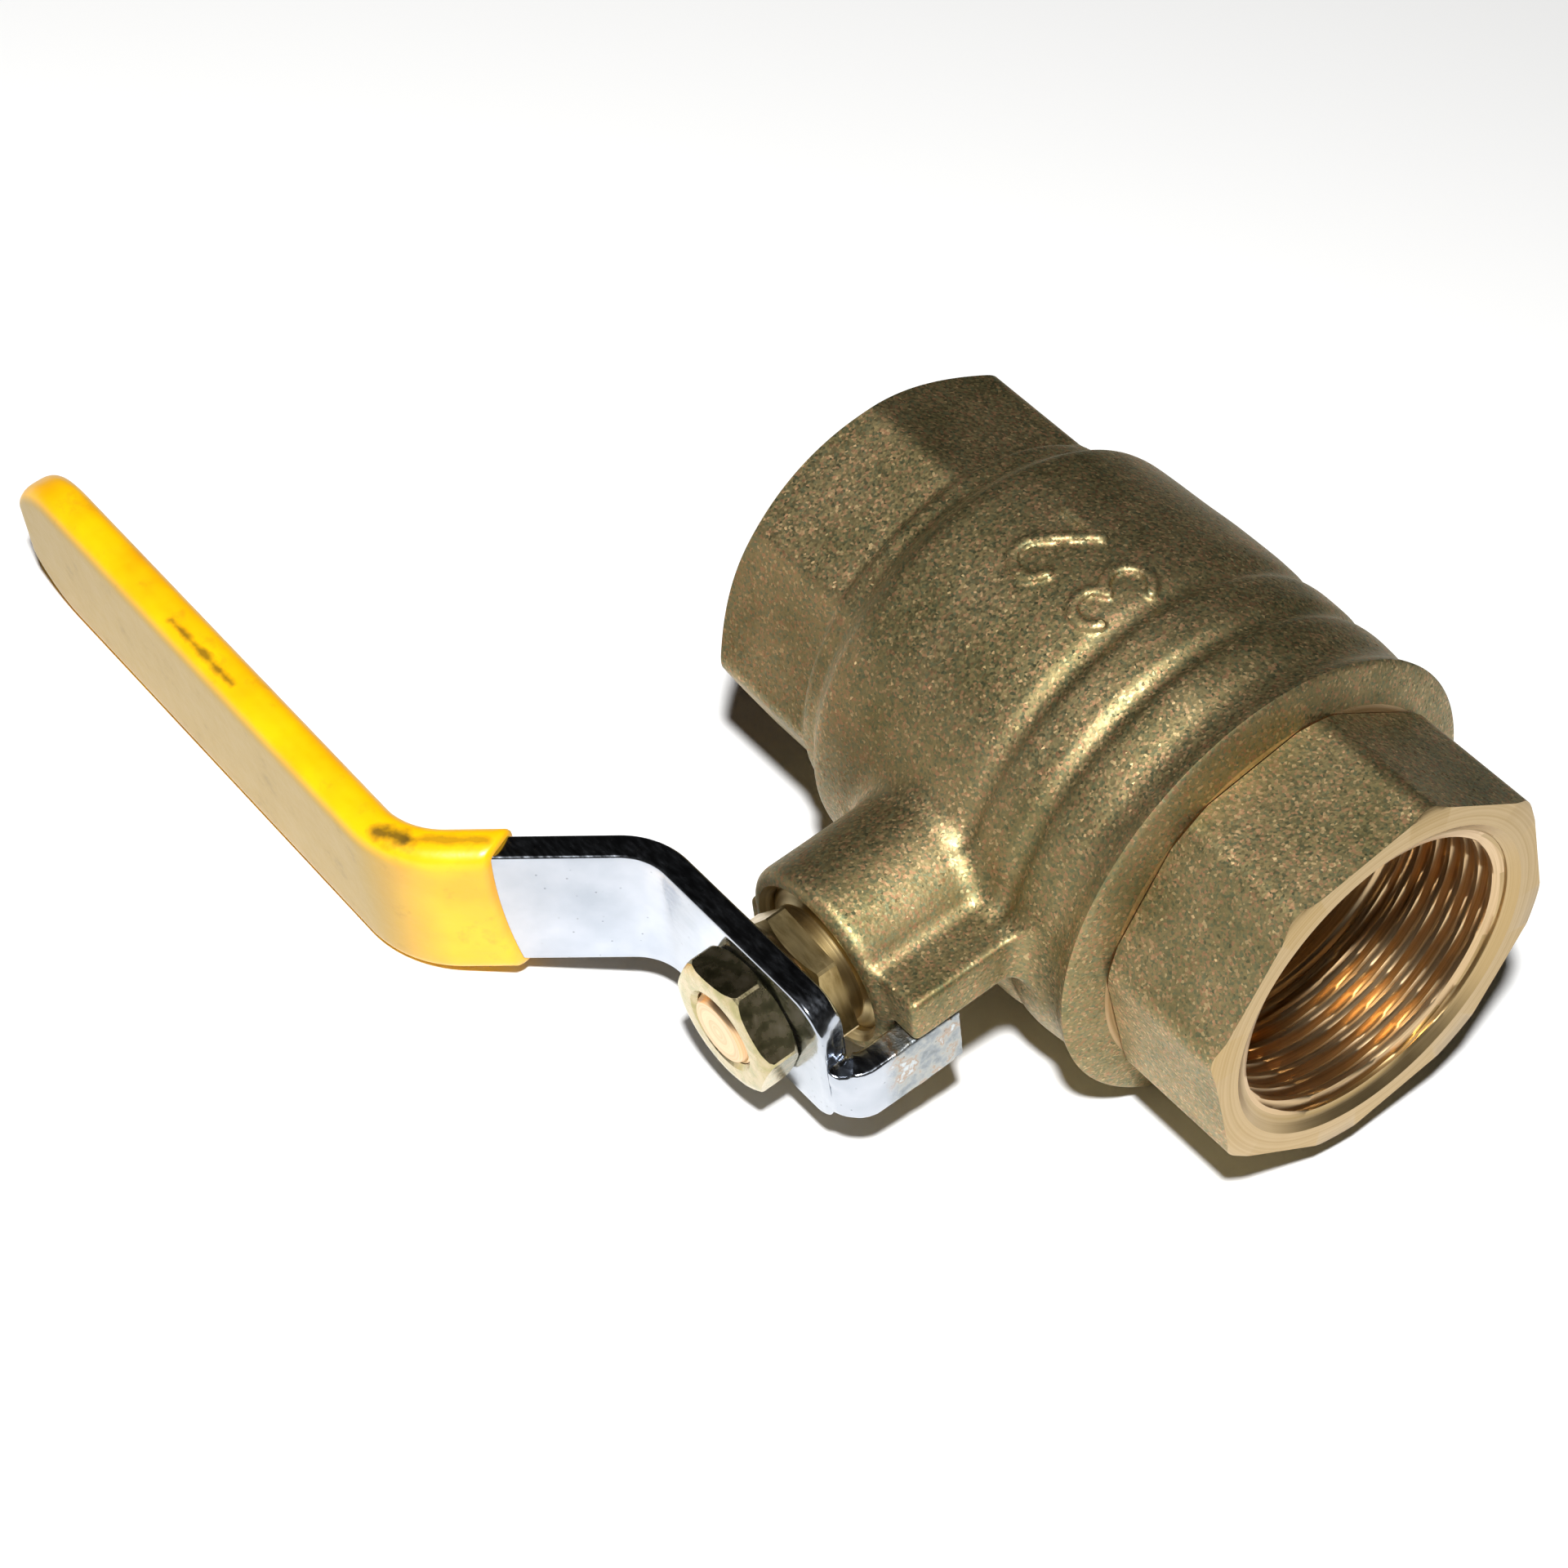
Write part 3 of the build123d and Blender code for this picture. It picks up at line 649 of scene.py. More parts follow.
@dataclass(frozen=True)
class DippedVinyl(Finish):
    """Soft PVC dip on the lever: saturated yellow, satin gloss and a little grimy, with painted shade on the side
    facing outward along the stem.
    """

    colour: str = "#f6b900"
    shadow: str = "#eaa400"
    outward_shade: str = "#a3852c"          # painted shade on the side facing outward along the stem
    grime: str = "#4a3a12"
    roughness: float = 0.34

    def draw(self, tree: bpy.types.NodeTree, shader: bpy.types.Node, place: bpy.types.NodeSocket) -> None:
        """Draws the dip's slight unevenness, the grime on it and painted shade on the side facing outward along the
        stem.
        """
        tone = add_node(tree, "ShaderNodeTexNoise", {"Vector": place, "Scale": per_mm(9.0), "Detail": 3.0})
        tint = add_node(tree, "ShaderNodeValToRGB", {"Fac": tone.outputs["Fac"]},
                        stops=((0.3, self.shadow), (0.6, self.colour)))
        dirt = add_node(tree, "ShaderNodeTexNoise", {"Vector": place, "Scale": per_mm(5.0), "Detail": 8.0,
                                                     "Roughness": 0.7})
        amount = add_node(tree, "ShaderNodeMapRange", {"Value": dirt.outputs["Fac"], "From Min": 0.58, "From Max": 0.8,
                                                       "To Max": 0.45})
        # Painted shade: faces turned outward along the stem are darkened towards a dull brownish yellow.
        facing = add_node(tree, "ShaderNodeVectorMath", {
            0: add_node(tree, "ShaderNodeTexCoord").outputs["Normal"], 1: (0.0, -math.cos(DIP), -math.sin(DIP))},
            operation="DOT_PRODUCT")
        outward = add_node(tree, "ShaderNodeMapRange", {"Value": facing.outputs["Value"], "From Min": 0.7})
        shaded_tint = add_node(tree, "ShaderNodeMix", {"Factor": outward.outputs["Result"], 6: tint.outputs["Color"],
                                                7: srgb(self.outward_shade)}, data_type="RGBA")
        colour = add_node(tree, "ShaderNodeMix", {"Factor": amount.outputs["Result"], 6: shaded_tint.outputs[2],
                                                  7: srgb(self.grime)}, data_type="RGBA")
        smeared = self.smear(tree, place, colour.outputs[2], (-88.6, 78.2, 11.2), (-74.6, 78.4, 11.2), 0.75, 0.75)
        smeared = self.smear(tree, place, smeared, (-43.6, 78.6, 11.2), (-40.0, 76.4, 11.2), 1.5, 0.85)
        smeared = self.smear(tree, place, smeared, (-40.0, 76.4, 11.2), (-33.5, 69.4, 11.2), 0.9, 0.5)
        tree.links.new(smeared, shader.inputs["Base Color"])
        shader.inputs["IOR"].default_value = 1.53
        rough = add_node(tree, "ShaderNodeMapRange", {"Value": dirt.outputs["Fac"], "To Min": self.roughness - 0.06,
                                                      "To Max": self.roughness + 0.12})
        tree.links.new(rough.outputs["Result"], shader.inputs["Roughness"])
        swell = add_node(tree, "ShaderNodeTexNoise", {"Vector": place, "Scale": per_mm(1.8), "Detail": 4.0})
        peel = add_node(tree, "ShaderNodeBump", {"Height": swell.outputs["Fac"], "Strength": 1.0, "Distance": 0.06 * MM})
        tree.links.new(peel.outputs["Normal"], shader.inputs["Normal"])

    def smear(self, tree: bpy.types.NodeTree, place: bpy.types.NodeSocket, under: bpy.types.NodeSocket,
              start: tuple[float, float, float], end: tuple[float, float, float], width: float,
              strength: float) -> bpy.types.NodeSocket:
        """Rubs a streak of grime over a colour, broken up by noise.

        Args:
            tree: The material's node tree.
            place: The piece's own coordinates.
            under: The colour underneath.
            start: One end, in mm along the pipe, the stem and the side.
            end: The other end.
            width: The streak's half width, in mm.
            strength: How much of the colour it hides.

        Returns:
            The smeared colour.
        """
        first, last = (to_row(np.array([[x, -t, z]]))[0] for x, t, z in (start, end))
        run = last - first
        offset = add_node(tree, "ShaderNodeVectorMath", {0: place, 1: tuple(-first)}, operation="ADD")
        share = add_node(tree, "ShaderNodeVectorMath", {0: offset.outputs[0], 1: tuple(run / (run @ run))},
                         operation="DOT_PRODUCT")
        clamped = add_node(tree, "ShaderNodeClamp", {"Value": share.outputs["Value"]})
        back = add_node(tree, "ShaderNodeVectorMath", {0: tuple(-run), "Scale": clamped.outputs[0]}, operation="SCALE")
        gap = add_node(tree, "ShaderNodeVectorMath", {0: offset.outputs[0], 1: back.outputs[0]}, operation="ADD")
        away = add_node(tree, "ShaderNodeVectorMath", {0: gap.outputs[0]}, operation="LENGTH")
        rough_edge = add_node(tree, "ShaderNodeTexNoise", {"Vector": place, "Scale": per_mm(2.2), "Detail": 4.0})
        broken = add_node(tree, "ShaderNodeMath", {0: rough_edge.outputs["Fac"], 1: 2.4 * width * MM,
                                                   2: away.outputs["Value"]}, operation="MULTIPLY_ADD")
        amount = add_node(tree, "ShaderNodeMapRange", {
            "Value": broken.outputs[0], "From Min": 1.3 * width * MM, "From Max": 2.3 * width * MM, "To Min": strength,
            "To Max": 0.0})
        mixed = add_node(tree, "ShaderNodeMix", {"Factor": amount.outputs["Result"], 6: under, 7: srgb(self.grime)},
                         data_type="RGBA")
        return mixed.outputs[2]


@dataclass(frozen=True)
class HardChrome(Finish):
    """Polished hard chrome on the ball: a mirror with slightly uneven polish."""

    def draw(self, tree: bpy.types.NodeTree, shader: bpy.types.Node, place: bpy.types.NodeSocket) -> None:
        """Draws a mirror with a little uneven polish."""
        polish = add_node(tree, "ShaderNodeTexNoise", {"Vector": place, "Scale": per_mm(4.0), "Detail": 5.0})
        tint = add_node(tree, "ShaderNodeValToRGB", {"Fac": polish.outputs["Fac"]},
                        stops=((0.3, "#c9ccd2"), (0.7, "#e6e7ea")))
        tree.links.new(tint.outputs["Color"], shader.inputs["Base Color"])
        shader.inputs["Metallic"].default_value = 1.0
        rough = add_node(tree, "ShaderNodeMapRange", {"Value": polish.outputs["Fac"], "To Min": 0.04, "To Max": 0.16})
        tree.links.new(rough.outputs["Result"], shader.inputs["Roughness"])


@dataclass(frozen=True)
class MouldedSeal(Finish):
    """A seal of PTFE or nitrile rubber: matt, faintly mottled."""

    light: str = "#efeee9"
    dark: str = "#dcdbd4"
    ior: float = 1.35
    roughness: float = 0.5

    def draw(self, tree: bpy.types.NodeTree, shader: bpy.types.Node, place: bpy.types.NodeSocket) -> None:
        """Draws the seal's mottled, skived surface."""
        mottle = add_node(tree, "ShaderNodeTexNoise", {"Vector": place, "Scale": per_mm(1.2), "Detail": 4.0})
        tint = add_node(tree, "ShaderNodeValToRGB", {"Fac": mottle.outputs["Fac"]},
                        stops=((0.3, self.dark), (0.7, self.light)))
        tree.links.new(tint.outputs["Color"], shader.inputs["Base Color"])
        shader.inputs["IOR"].default_value = self.ior
        rough = add_node(tree, "ShaderNodeMapRange", {"Value": mottle.outputs["Fac"], "To Min": self.roughness - 0.08,
                                                      "To Max": self.roughness + 0.1})
        tree.links.new(rough.outputs["Result"], shader.inputs["Roughness"])


class Shop:
    """Every finish of the valve, made once and shared by its pieces."""

    def __init__(self) -> None:
        """Makes the materials."""
        self.forged = ForgedBrass("brass_forged_shot_blasted").make()
        self.faced = TurnedBrass("brass_turned_mouth", light="#b79f78", dark="#a18859", roughness=0.34).make()
        self.bored = TurnedBrass("brass_threaded_bore", light="#d6bb96", dark="#ae9268", roughness=0.32,
                                 depth=0.002).make()
        self.spindle = TurnedBrass("brass_turned_spindle", spin=Spin.STEM, light="#e8c9a0", dark="#c79a6c").make()
        self.gland = TurnedBrass("brass_turned_gland", spin=Spin.STEM, light="#d2bb88", dark="#a08a5a",
                                 roughness=0.32, feed=0.6, depth=0.03).make()
        self.zinc = BrightZincSteel("steel_pressed_bright_zinc").make()
        self.nut = YellowZincSteel("steel_nut_yellow_zinc").make()
        self.vinyl = DippedVinyl("vinyl_dipped_yellow").make()
        self.chrome = HardChrome("ball_hard_chrome").make()
        self.ptfe = MouldedSeal("ptfe_skived").make()
        self.nitrile = MouldedSeal("nitrile_moulded", light="#1c1c1d", dark="#101011", ior=1.52, roughness=0.6).make()


# ---------------------------------------------------------------- body and end connector
@dataclass(frozen=True)
class Port:
    """A G 1 1/4 threaded mouth, in mm: 11 turns to the inch with a 45 degree countersink."""

    pitch: float = 25.4 / 11
    crest: float = 19.476
    root: float = 20.955
    depth: float = 19.5
    mouth: float = 22.3

    def rows(self, face: float) -> list[tuple[float, Array]]:
        """Rings from the mouth's rim to the thread's inner end.

        Args:
            face: Place of the mouth's face along the pipe, positive or negative.

        Returns:
            The rings, starting on the face.
        """
        way = -1.0 if face > 0 else 1.0
        inner = face + way * (self.depth - 0.2)
        thread = Thread(self.pitch, self.crest, self.root, face, inner, run_out=2.2 * self.pitch)
        return thread.rows(mouth=lambda along: min(self.mouth - 1.3 * abs(face - along),
                                                   self.mouth + 1.6 - 3.0 * abs(face - along)))


@dataclass(frozen=True)
class Body:
    """The forged body: far octagon, neck, barrel, boss and stop lugs, in mm in the valve's own axes."""

    half_flats: float = 25.0
    lip_x: float = 25.9
    boss_r: float = 12.7
    boss_top: float = 47.2
    boss_bore: float = 10.0
    chamber_floor: float = 33.6
    stem_bore: float = 7.05
    flow_r: float = 15.5
    cavity_r: float = 24.5
    pocket_r: float = 20.5
    pocket_x: float = 19.2
    cell: float = 0.42               # grid of the forging's mesh
    port: Port = Port()
    barrel: Profile = Profile((
        (-29.6, 24.4), (-29.1, 24.8), (-28.2, 26.5), (-27.7, 26.85), (-26.9, 26.95), (-25.6, 27.0), (-24.8, 27.35),
        (-23.2, 28.9), (-22.3, 29.55), (-20.8, 29.85), (-18.0, 30.0), (-12.0, 30.2), (-6.6, 30.45), (-1.0, 30.5),
        (2.5, 30.35), (5.1, 29.85), (5.7, 29.9), (6.9, 30.4), (8.2, 30.5), (11.5, 30.4), (13.8, 29.8), (14.4, 29.85),
        (15.6, 30.35), (17.0, 30.45), (19.3, 30.3), (21.6, 30.05), (23.4, 30.3), (25.0, 31.0), (26.0, 31.25),
        (29.0, 31.25)))
    mark_height: float = 10.8
    mark_middle: float = -4.7
    mark_angle: float = math.radians(88.5)
    stroke: float = 0.75             # half the width of a raised stroke
    proud: float = 0.62

    def numeral_depth(self, x: Array, arc: Array) -> Array:
        """Distance across the barrel's surface to the strokes of the raised size mark, the metric size 32.

        Args:
            x: Places along the pipe.
            arc: Distance round the barrel, towards the stem.

        Returns:
            Distances less half a stroke's width, negative on a stroke.
        """
        unit = self.mark_height
        glyphs = (
            (0.80 * unit, (arc_points(0.29, 0.745, 0.235, 155, -80), arc_points(0.27, 0.265, 0.265, 75, -150))),
            (-0.19 * unit, (arc_points(0.28, 0.72, 0.27, 165, -38) + [(0.02, 0.0)], [(0.02, 0.0), (0.6, 0.0)])))
        best = np.full(x.shape, 99.0)
        for start, strokes in glyphs:
            for stroke in strokes:
                for (u0, v0), (u1, v1) in zip(stroke, stroke[1:]):
                    a = np.array((self.mark_middle + start - u0 * unit, (v0 - 0.5) * unit))
                    b = np.array((self.mark_middle + start - u1 * unit, (v1 - 0.5) * unit))
                    run = b - a
                    t = np.clip(((x - a[0]) * run[0] + (arc - a[1]) * run[1]) / (run @ run), 0.0, 1.0)
                    best = np.minimum(best, np.hypot(x - a[0] - t * run[0], arc - a[1] - t * run[1]))
        return best - self.stroke

    def depth(self, points: Array) -> Array:
        """Depth inside the raw forging, before any machining.

        Args:
            points: Positions in mm.

        Returns:
            Signed distances, negative inside.
        """
        x, y, z = points.T
        radius = np.hypot(y, z)
        fine, curve = self.barrel.sampled()
        skin_r = np.interp(x, fine, curve)
        slope = (np.interp(x + 0.05, fine, curve) - np.interp(x - 0.05, fine, curve)) / 0.1
        barrel = (radius - skin_r) / np.sqrt(1 + slope ** 2)
        barrel = np.maximum(barrel, np.abs(x + 1.0) - 29.5)
        near = radius > 28.0
        near &= np.abs(x - self.mark_middle) < 14.0
        near &= (z > 0) & (np.abs(y) < 12.0)
        if near.any():
            arc = (self.mark_angle - np.arctan2(z[near], -y[near])) * 30.5
            mark = trim(self.numeral_depth(x[near], arc), radius[near] - skin_r[near] - self.proud, 0.45)
            barrel[near] = fuse(barrel[near], mark, 0.3)
        flats = octagon(points, self.half_flats, 0.0, 1.0)
        flats = np.maximum(flats, np.maximum(x + 26.0, -x - PIPE_HALF - 1.0))
        solid = fuse(barrel, flats, 0.5)
        spindle = np.hypot(x, z)
        boss = trim(spindle - self.boss_r, -y - self.boss_top, 2.0)
        boss = np.maximum(boss, y + 18.0)
        open_stop = block(points, (-4.0, -46.2, 1.05), (17.4, -18.0, 7.6), 0.9)
        shut_stop = block(points, (-14.6, -46.2, -17.6), (-8.35, -18.0, -2.0), 0.9)
        boss = fuse(fuse(boss, open_stop, 1.1), shut_stop, 1.1)
        return fuse(solid, boss, 3.0)

    def envelope(self) -> list[tuple[float, Array]]:
        """Rings of what the lathe leaves: bores, pockets, far thread and the faces at both ends."""
        far = -PIPE_HALF
        outside = [(far, self.port.mouth), (far, 24.9), (far + 2.4, 28.0), (far + 2.4, 60.0), (self.lip_x - 0.7, 60.0),
                   (self.lip_x - 0.7, LIP_R - 0.02), (self.lip_x - 0.3, LIP_R - 0.1), (self.lip_x, LIP_R - 0.4),
                   (self.lip_x + 0.2, LIP_R - 0.95), (27.5, 26.2), (27.5, self.cavity_r), (-11.0, self.cavity_r),
                   (-14.6, self.pocket_r), (-self.pocket_x, self.pocket_r), (-self.pocket_x, self.flow_r),
                   (far + self.port.depth, self.flow_r), (far + self.port.depth, self.port.crest)]
        return plain_rows(outside) + self.port.rows(far)[::-1]

    def build(self, shop: Shop) -> bpy.types.Object:
        """Forges the body, then machines it.

        Args:
            shop: The finishes.

        Returns:
            The piece, riding on the valve body.
        """
        points, faces = skin(self.depth, (-47.6, -48.4, -32.4), (29.2, 32.4, 32.4), self.cell)
        finishes = (shop.forged, shop.bored, shop.gland, shop.faced)
        piece = new_piece("body_forging", points, faces, finishes)
        machine(piece, turned("lathe", self.envelope(), Spin.PIPE, finishes, slot=1), Cut.KEEP_INSIDE)
        spindle_bore = [(16.0, 0.01), (16.0, 8.6), (27.0, 8.6), (27.0, self.stem_bore),
                        (self.chamber_floor, self.stem_bore), (self.chamber_floor, self.boss_bore),
                        (self.boss_top - 0.9, self.boss_bore), (self.boss_top + 0.1, self.boss_bore + 1.0),
                        (self.boss_top + 3.0, self.boss_bore + 1.0), (self.boss_top + 3.0, 0.01)]
        machine(piece, turned("drill", plain_rows(spindle_bore), Spin.STEM, finishes, bored=False, slot=2),
                Cut.TAKE_AWAY)
        centres = face_centres(piece.data)
        slots = np.empty(len(centres), dtype=np.int32)
        piece.data.polygons.foreach_get("material_index", slots)
        radius = np.hypot(centres[:, 1], centres[:, 2])
        slots[(centres[:, 0] > self.lip_x - 1.0) & (radius > 25.5)] = 0
        slots[(slots == 1) & (centres[:, 0] < -PIPE_HALF + 2.6) & (radius > 21.0)] = 3
        piece.data.polygons.foreach_set("material_index", slots)
        shade(piece, 35.0)
        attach(piece, "valve_body")
        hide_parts("body")
        return piece


def arc_points(u: float, v: float, radius: float, start: float, end: float) -> list[tuple[float, float]]:
    """Returns points of an arc between two angles in degrees, for the strokes of a numeral."""
    turns = np.radians(np.linspace(start, end, 11))
    return [(u + radius * math.cos(a), v + radius * math.sin(a)) for a in turns]


@dataclass(frozen=True)
class EndConnector:
    """The screwed-in end piece with its octagon, turned against the body's, in mm."""

    half_flats: float = 25.0
    twist: float = math.radians(15.5)
    back: float = 27.6
    shank_x: float = 13.2
    shank_r: float = 24.45
    pocket_r: float = 20.5
    pocket_x: float = 19.2
    flow_r: float = 15.5
    cell: float = 0.42
    port: Port = Port()

    def depth(self, points: Array) -> Array:
        """Depth inside the raw octagonal forging and its shank.

        Args:
            points: Positions in mm.

        Returns:
            Signed distances, negative inside.
        """
        x, y, z = points.T
        flats = octagon(points, self.half_flats, self.twist, 1.1)
        flats = np.maximum(flats, np.maximum(x - PIPE_HALF - 1.0, self.back - 0.8 - x))
        shank = np.maximum(np.hypot(y, z) - self.shank_r - 0.5, np.maximum(x - PIPE_HALF - 1.0, self.shank_x - 1.0 - x))
        return np.minimum(flats, shank)

    def build(self, shop: Shop) -> bpy.types.Object:
        """Forges the octagon and machines the rest.

        Args:
            shop: The finishes.

        Returns:
            The piece, riding on the valve body.
        """
        points, faces = skin(self.depth, (11.6, -28.6, -28.6), (PIPE_HALF + 1.8, 28.6, 28.6), self.cell)
        finishes = (shop.forged, shop.bored, shop.faced)
        piece = new_piece("end_connector_forging", points, faces, finishes)
        outside = [(self.shank_x, self.pocket_r), (self.shank_x, self.shank_r - 0.7), (self.shank_x + 0.7, self.shank_r),
                   (self.back, self.shank_r), (self.back, 25.9), (self.back + 1.1, 27.6), (PIPE_HALF - 1.0, 27.6),
                   (PIPE_HALF, 25.9)]
        inside = [(PIPE_HALF - self.port.depth, self.port.crest), (PIPE_HALF - self.port.depth, self.flow_r),
                  (self.pocket_x, self.flow_r), (self.pocket_x, self.pocket_r)]
        rows = plain_rows(outside) + self.port.rows(PIPE_HALF) + plain_rows(inside)
        machine(piece, turned("lathe", rows, Spin.PIPE, finishes, slot=1), Cut.KEEP_INSIDE)
        centres = face_centres(piece.data)
        slots = np.empty(len(centres), dtype=np.int32)
        piece.data.polygons.foreach_get("material_index", slots)
        radius = np.hypot(centres[:, 1], centres[:, 2])
        slots[(centres[:, 0] < self.back + 1.2) & (radius > 24.6)] = 0
        slots[(slots == 1) & (centres[:, 0] > PIPE_HALF - 1.9) & (radius > 20.6)] = 2
        piece.data.polygons.foreach_set("material_index", slots)
        shade(piece, 35.0)
        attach(piece, "valve_body")
        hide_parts("end_connector")
        return piece


# ---------------------------------------------------------------- nuts and stem
def hexagon_bar(name: str, half_flats: float, corner: float, start: float, end: float,
                finish: bpy.types.Material) -> bpy.types.Object:
    """Makes a hexagonal bar across the stem, its long edges slightly broken.

    Args:
        name: The piece's name.
        half_flats: Half the width across flats, in mm.
        corner: Angle of one corner from +X towards the side, in degrees.
        start: Inner end along the stem.
        end: Outer end.
        finish: Its material.

    Returns:
        The bar.
    """
    broken = 1.4                      # degrees each side of a corner that the edge takes off
    radius = half_flats / math.cos(math.radians(30))
    ring = []
    for k in range(6):
        for off in (-broken, broken):
            angle = math.radians(corner + 60 * k + off)
            ring.append((radius * 0.995 * math.cos(angle), radius * 0.995 * math.sin(angle)))
    rings = np.array([[(x, -t, z) for x, z in ring] for t in (start, end)])
    points, faces = loft(rings, closed=False)
    return new_piece(name, points, faces, (finish,))


@dataclass(frozen=True)
class GlandNut:
    """The gland nut that presses the packing, in mm along the stem."""

    half_flats: float = 8.25
    corner: float = 50.5
    start: float = 39.6
    neck: float = 45.6
    hex_start: float = 48.5
    top: float = 51.8
    thread_r: float = 9.95
    bore: float = 6.05

    def build(self, shop: Shop) -> bpy.types.Object:
        """Turns the nut from hexagonal bar.

        Args:
            shop: The finishes.

        Returns:
            The piece, riding on the valve body.
        """
        piece = hexagon_bar("gland_nut_turned", self.half_flats, self.corner, self.hex_start, self.top, shop.gland)
        shank = turned("shank", plain_rows([
            (self.start, self.bore), (self.start, self.thread_r - 0.7), (self.start + 0.7, self.thread_r),
            (self.neck, self.thread_r), (self.neck + 1.0, 8.0), (self.hex_start + 0.2, 8.0),
            (self.hex_start + 0.2, self.bore)]), Spin.STEM, (shop.gland,))
        hexagon_cut = turned("cut", plain_rows([
            (self.hex_start - 1, self.bore), (self.hex_start - 1, 12.0), (self.top - 2.1, 12.0),
            (self.top, self.half_flats + 0.05), (self.top, self.bore)]),
            Spin.STEM, (shop.gland,))
        machine(piece, hexagon_cut, Cut.KEEP_INSIDE)
        join_solid(piece, shank)
        shade(piece, 25.0)
        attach(piece, "valve_body")
        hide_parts("gland_nut")
        return piece


def join_solid(piece: bpy.types.Object, other: bpy.types.Object) -> None:
    """Fuses another closed mesh into a piece and removes it."""
    step = piece.modifiers.new("join", "BOOLEAN")
    step.operation = "UNION"
    step.solver = "MANIFOLD"
    step.object = other
    bake_modifiers(piece)
    bpy.data.objects.remove(other)


@dataclass(frozen=True)
class LeverNut:
    """The hexagon nut that holds the lever, chamfered on both faces, in mm along the stem."""

    half_flats: float = 8.0
    corner: float = 8.7
    start: float = 56.4
    top: float = 61.7
    hole: float = 5.02
    mouth: float = 5.6

    def build(self, shop: Shop) -> bpy.types.Object:
        """Cuts the nut from hexagonal bar.

        Args:
            shop: The finishes.

        Returns:
            The piece, riding on the handle.
        """
        piece = hexagon_bar("lever_nut_plated", self.half_flats, self.corner, self.start, self.top, shop.nut)
        wide, face = self.half_flats * 1.155, self.half_flats - 0.75
        swell = [(0.0, 0.0), (0.08, 0.25), (0.3, 0.6), (0.7, 0.86), (1.25, 1.0)]
        rows = [(self.start, self.hole)]
        rows += [(self.start + drop, face + (wide - face) * share) for drop, share in swell]
        rows += [(self.top - drop, face + (wide - face) * share) for drop, share in swell[::-1]]
        rows += [(self.top, self.mouth), (self.top - 0.6, self.hole)]
        machine(piece, turned("cut", plain_rows(rows), Spin.STEM, (shop.nut,)), Cut.KEEP_INSIDE)
        shade(piece, 25.0)
        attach(piece, "handle")
        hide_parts("lever_nut")
        return piece


@dataclass(frozen=True)
class Stem:
    """The turned stem: flange, O-ring groove, neck, two flats for the lever and the threaded stud, in mm."""

    flange_r: float = 8.4
    flange_start: float = 23.9
    flange_end: float = 26.2
    shaft_r: float = 7.0
    groove_r: float = 5.45
    neck_r: float = 6.0
    neck_start: float = 33.5
    shoulder: float = 52.8
    stud_r: float = 4.95
    end: float = 62.0
    flat_half: float = 3.75
    flats_end: float = 56.9
    tang: tuple[float, float] = (5.9, 11.6)
    tang_start: float = 18.6

    def build(self, shop: Shop) -> bpy.types.Object:
        """Turns the stem, mills its flats and cuts its stud thread.

        Args:
            shop: The finishes.

        Returns:
            The piece, riding on the handle.
        """
        outline = [(self.flange_start, 0.01), (self.flange_start, self.flange_r - 0.3),
                   (self.flange_start + 0.3, self.flange_r), (self.flange_end, self.flange_r),
                   (self.flange_end, self.shaft_r), (29.0, self.shaft_r), (29.0, self.groove_r), (31.0, self.groove_r),
                   (31.0, self.shaft_r), (self.neck_start, self.shaft_r), (self.neck_start, self.neck_r),
                   (self.shoulder, self.neck_r), (self.shoulder, self.stud_r)]
        thread = Thread(1.25, self.stud_r - 0.02, self.stud_r - 0.72, self.shoulder + 0.1, self.end - 0.95)
        tip = [(self.end - 0.85, self.stud_r - 0.25), (self.end - 0.12, self.stud_r - 0.72), (self.end, self.stud_r - 0.9),
               (self.end, 0.01)]
        piece = turned("stem_turned", plain_rows(outline) + thread.rows() + plain_rows(tip), Spin.STEM,
                       (shop.spindle,), bored=False)
        for side in (-1, 1):
            machine(piece, bar("mill", (-9, 9), (self.shoulder, self.flats_end),
                               sorted((side * self.flat_half, side * 9)), shop.spindle), Cut.TAKE_AWAY)
        half, wide = self.tang[0] / 2, self.tang[1] / 2
        join_solid(piece, bar("tang", (-half, half), (self.tang_start, self.flange_start + 0.2), (-wide, wide),
                              shop.spindle))
        shade(piece, 28.0)
        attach(piece, "handle")
        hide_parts("stem")
        return piece


def bar(name: str, x: Sequence[float], t: Sequence[float], z: Sequence[float],
        finish: bpy.types.Material) -> bpy.types.Object:
    """Makes a rectangular tool or tang between limits along the pipe, the stem and the side, in mm."""
    corners = [(x[0], z[0]), (x[1], z[0]), (x[1], z[1]), (x[0], z[1])]
    rings = np.array([[(a, -along, b) for a, b in corners] for along in t])
    points, faces = loft(rings, closed=False)
    return new_piece(name, points, faces, (finish,))


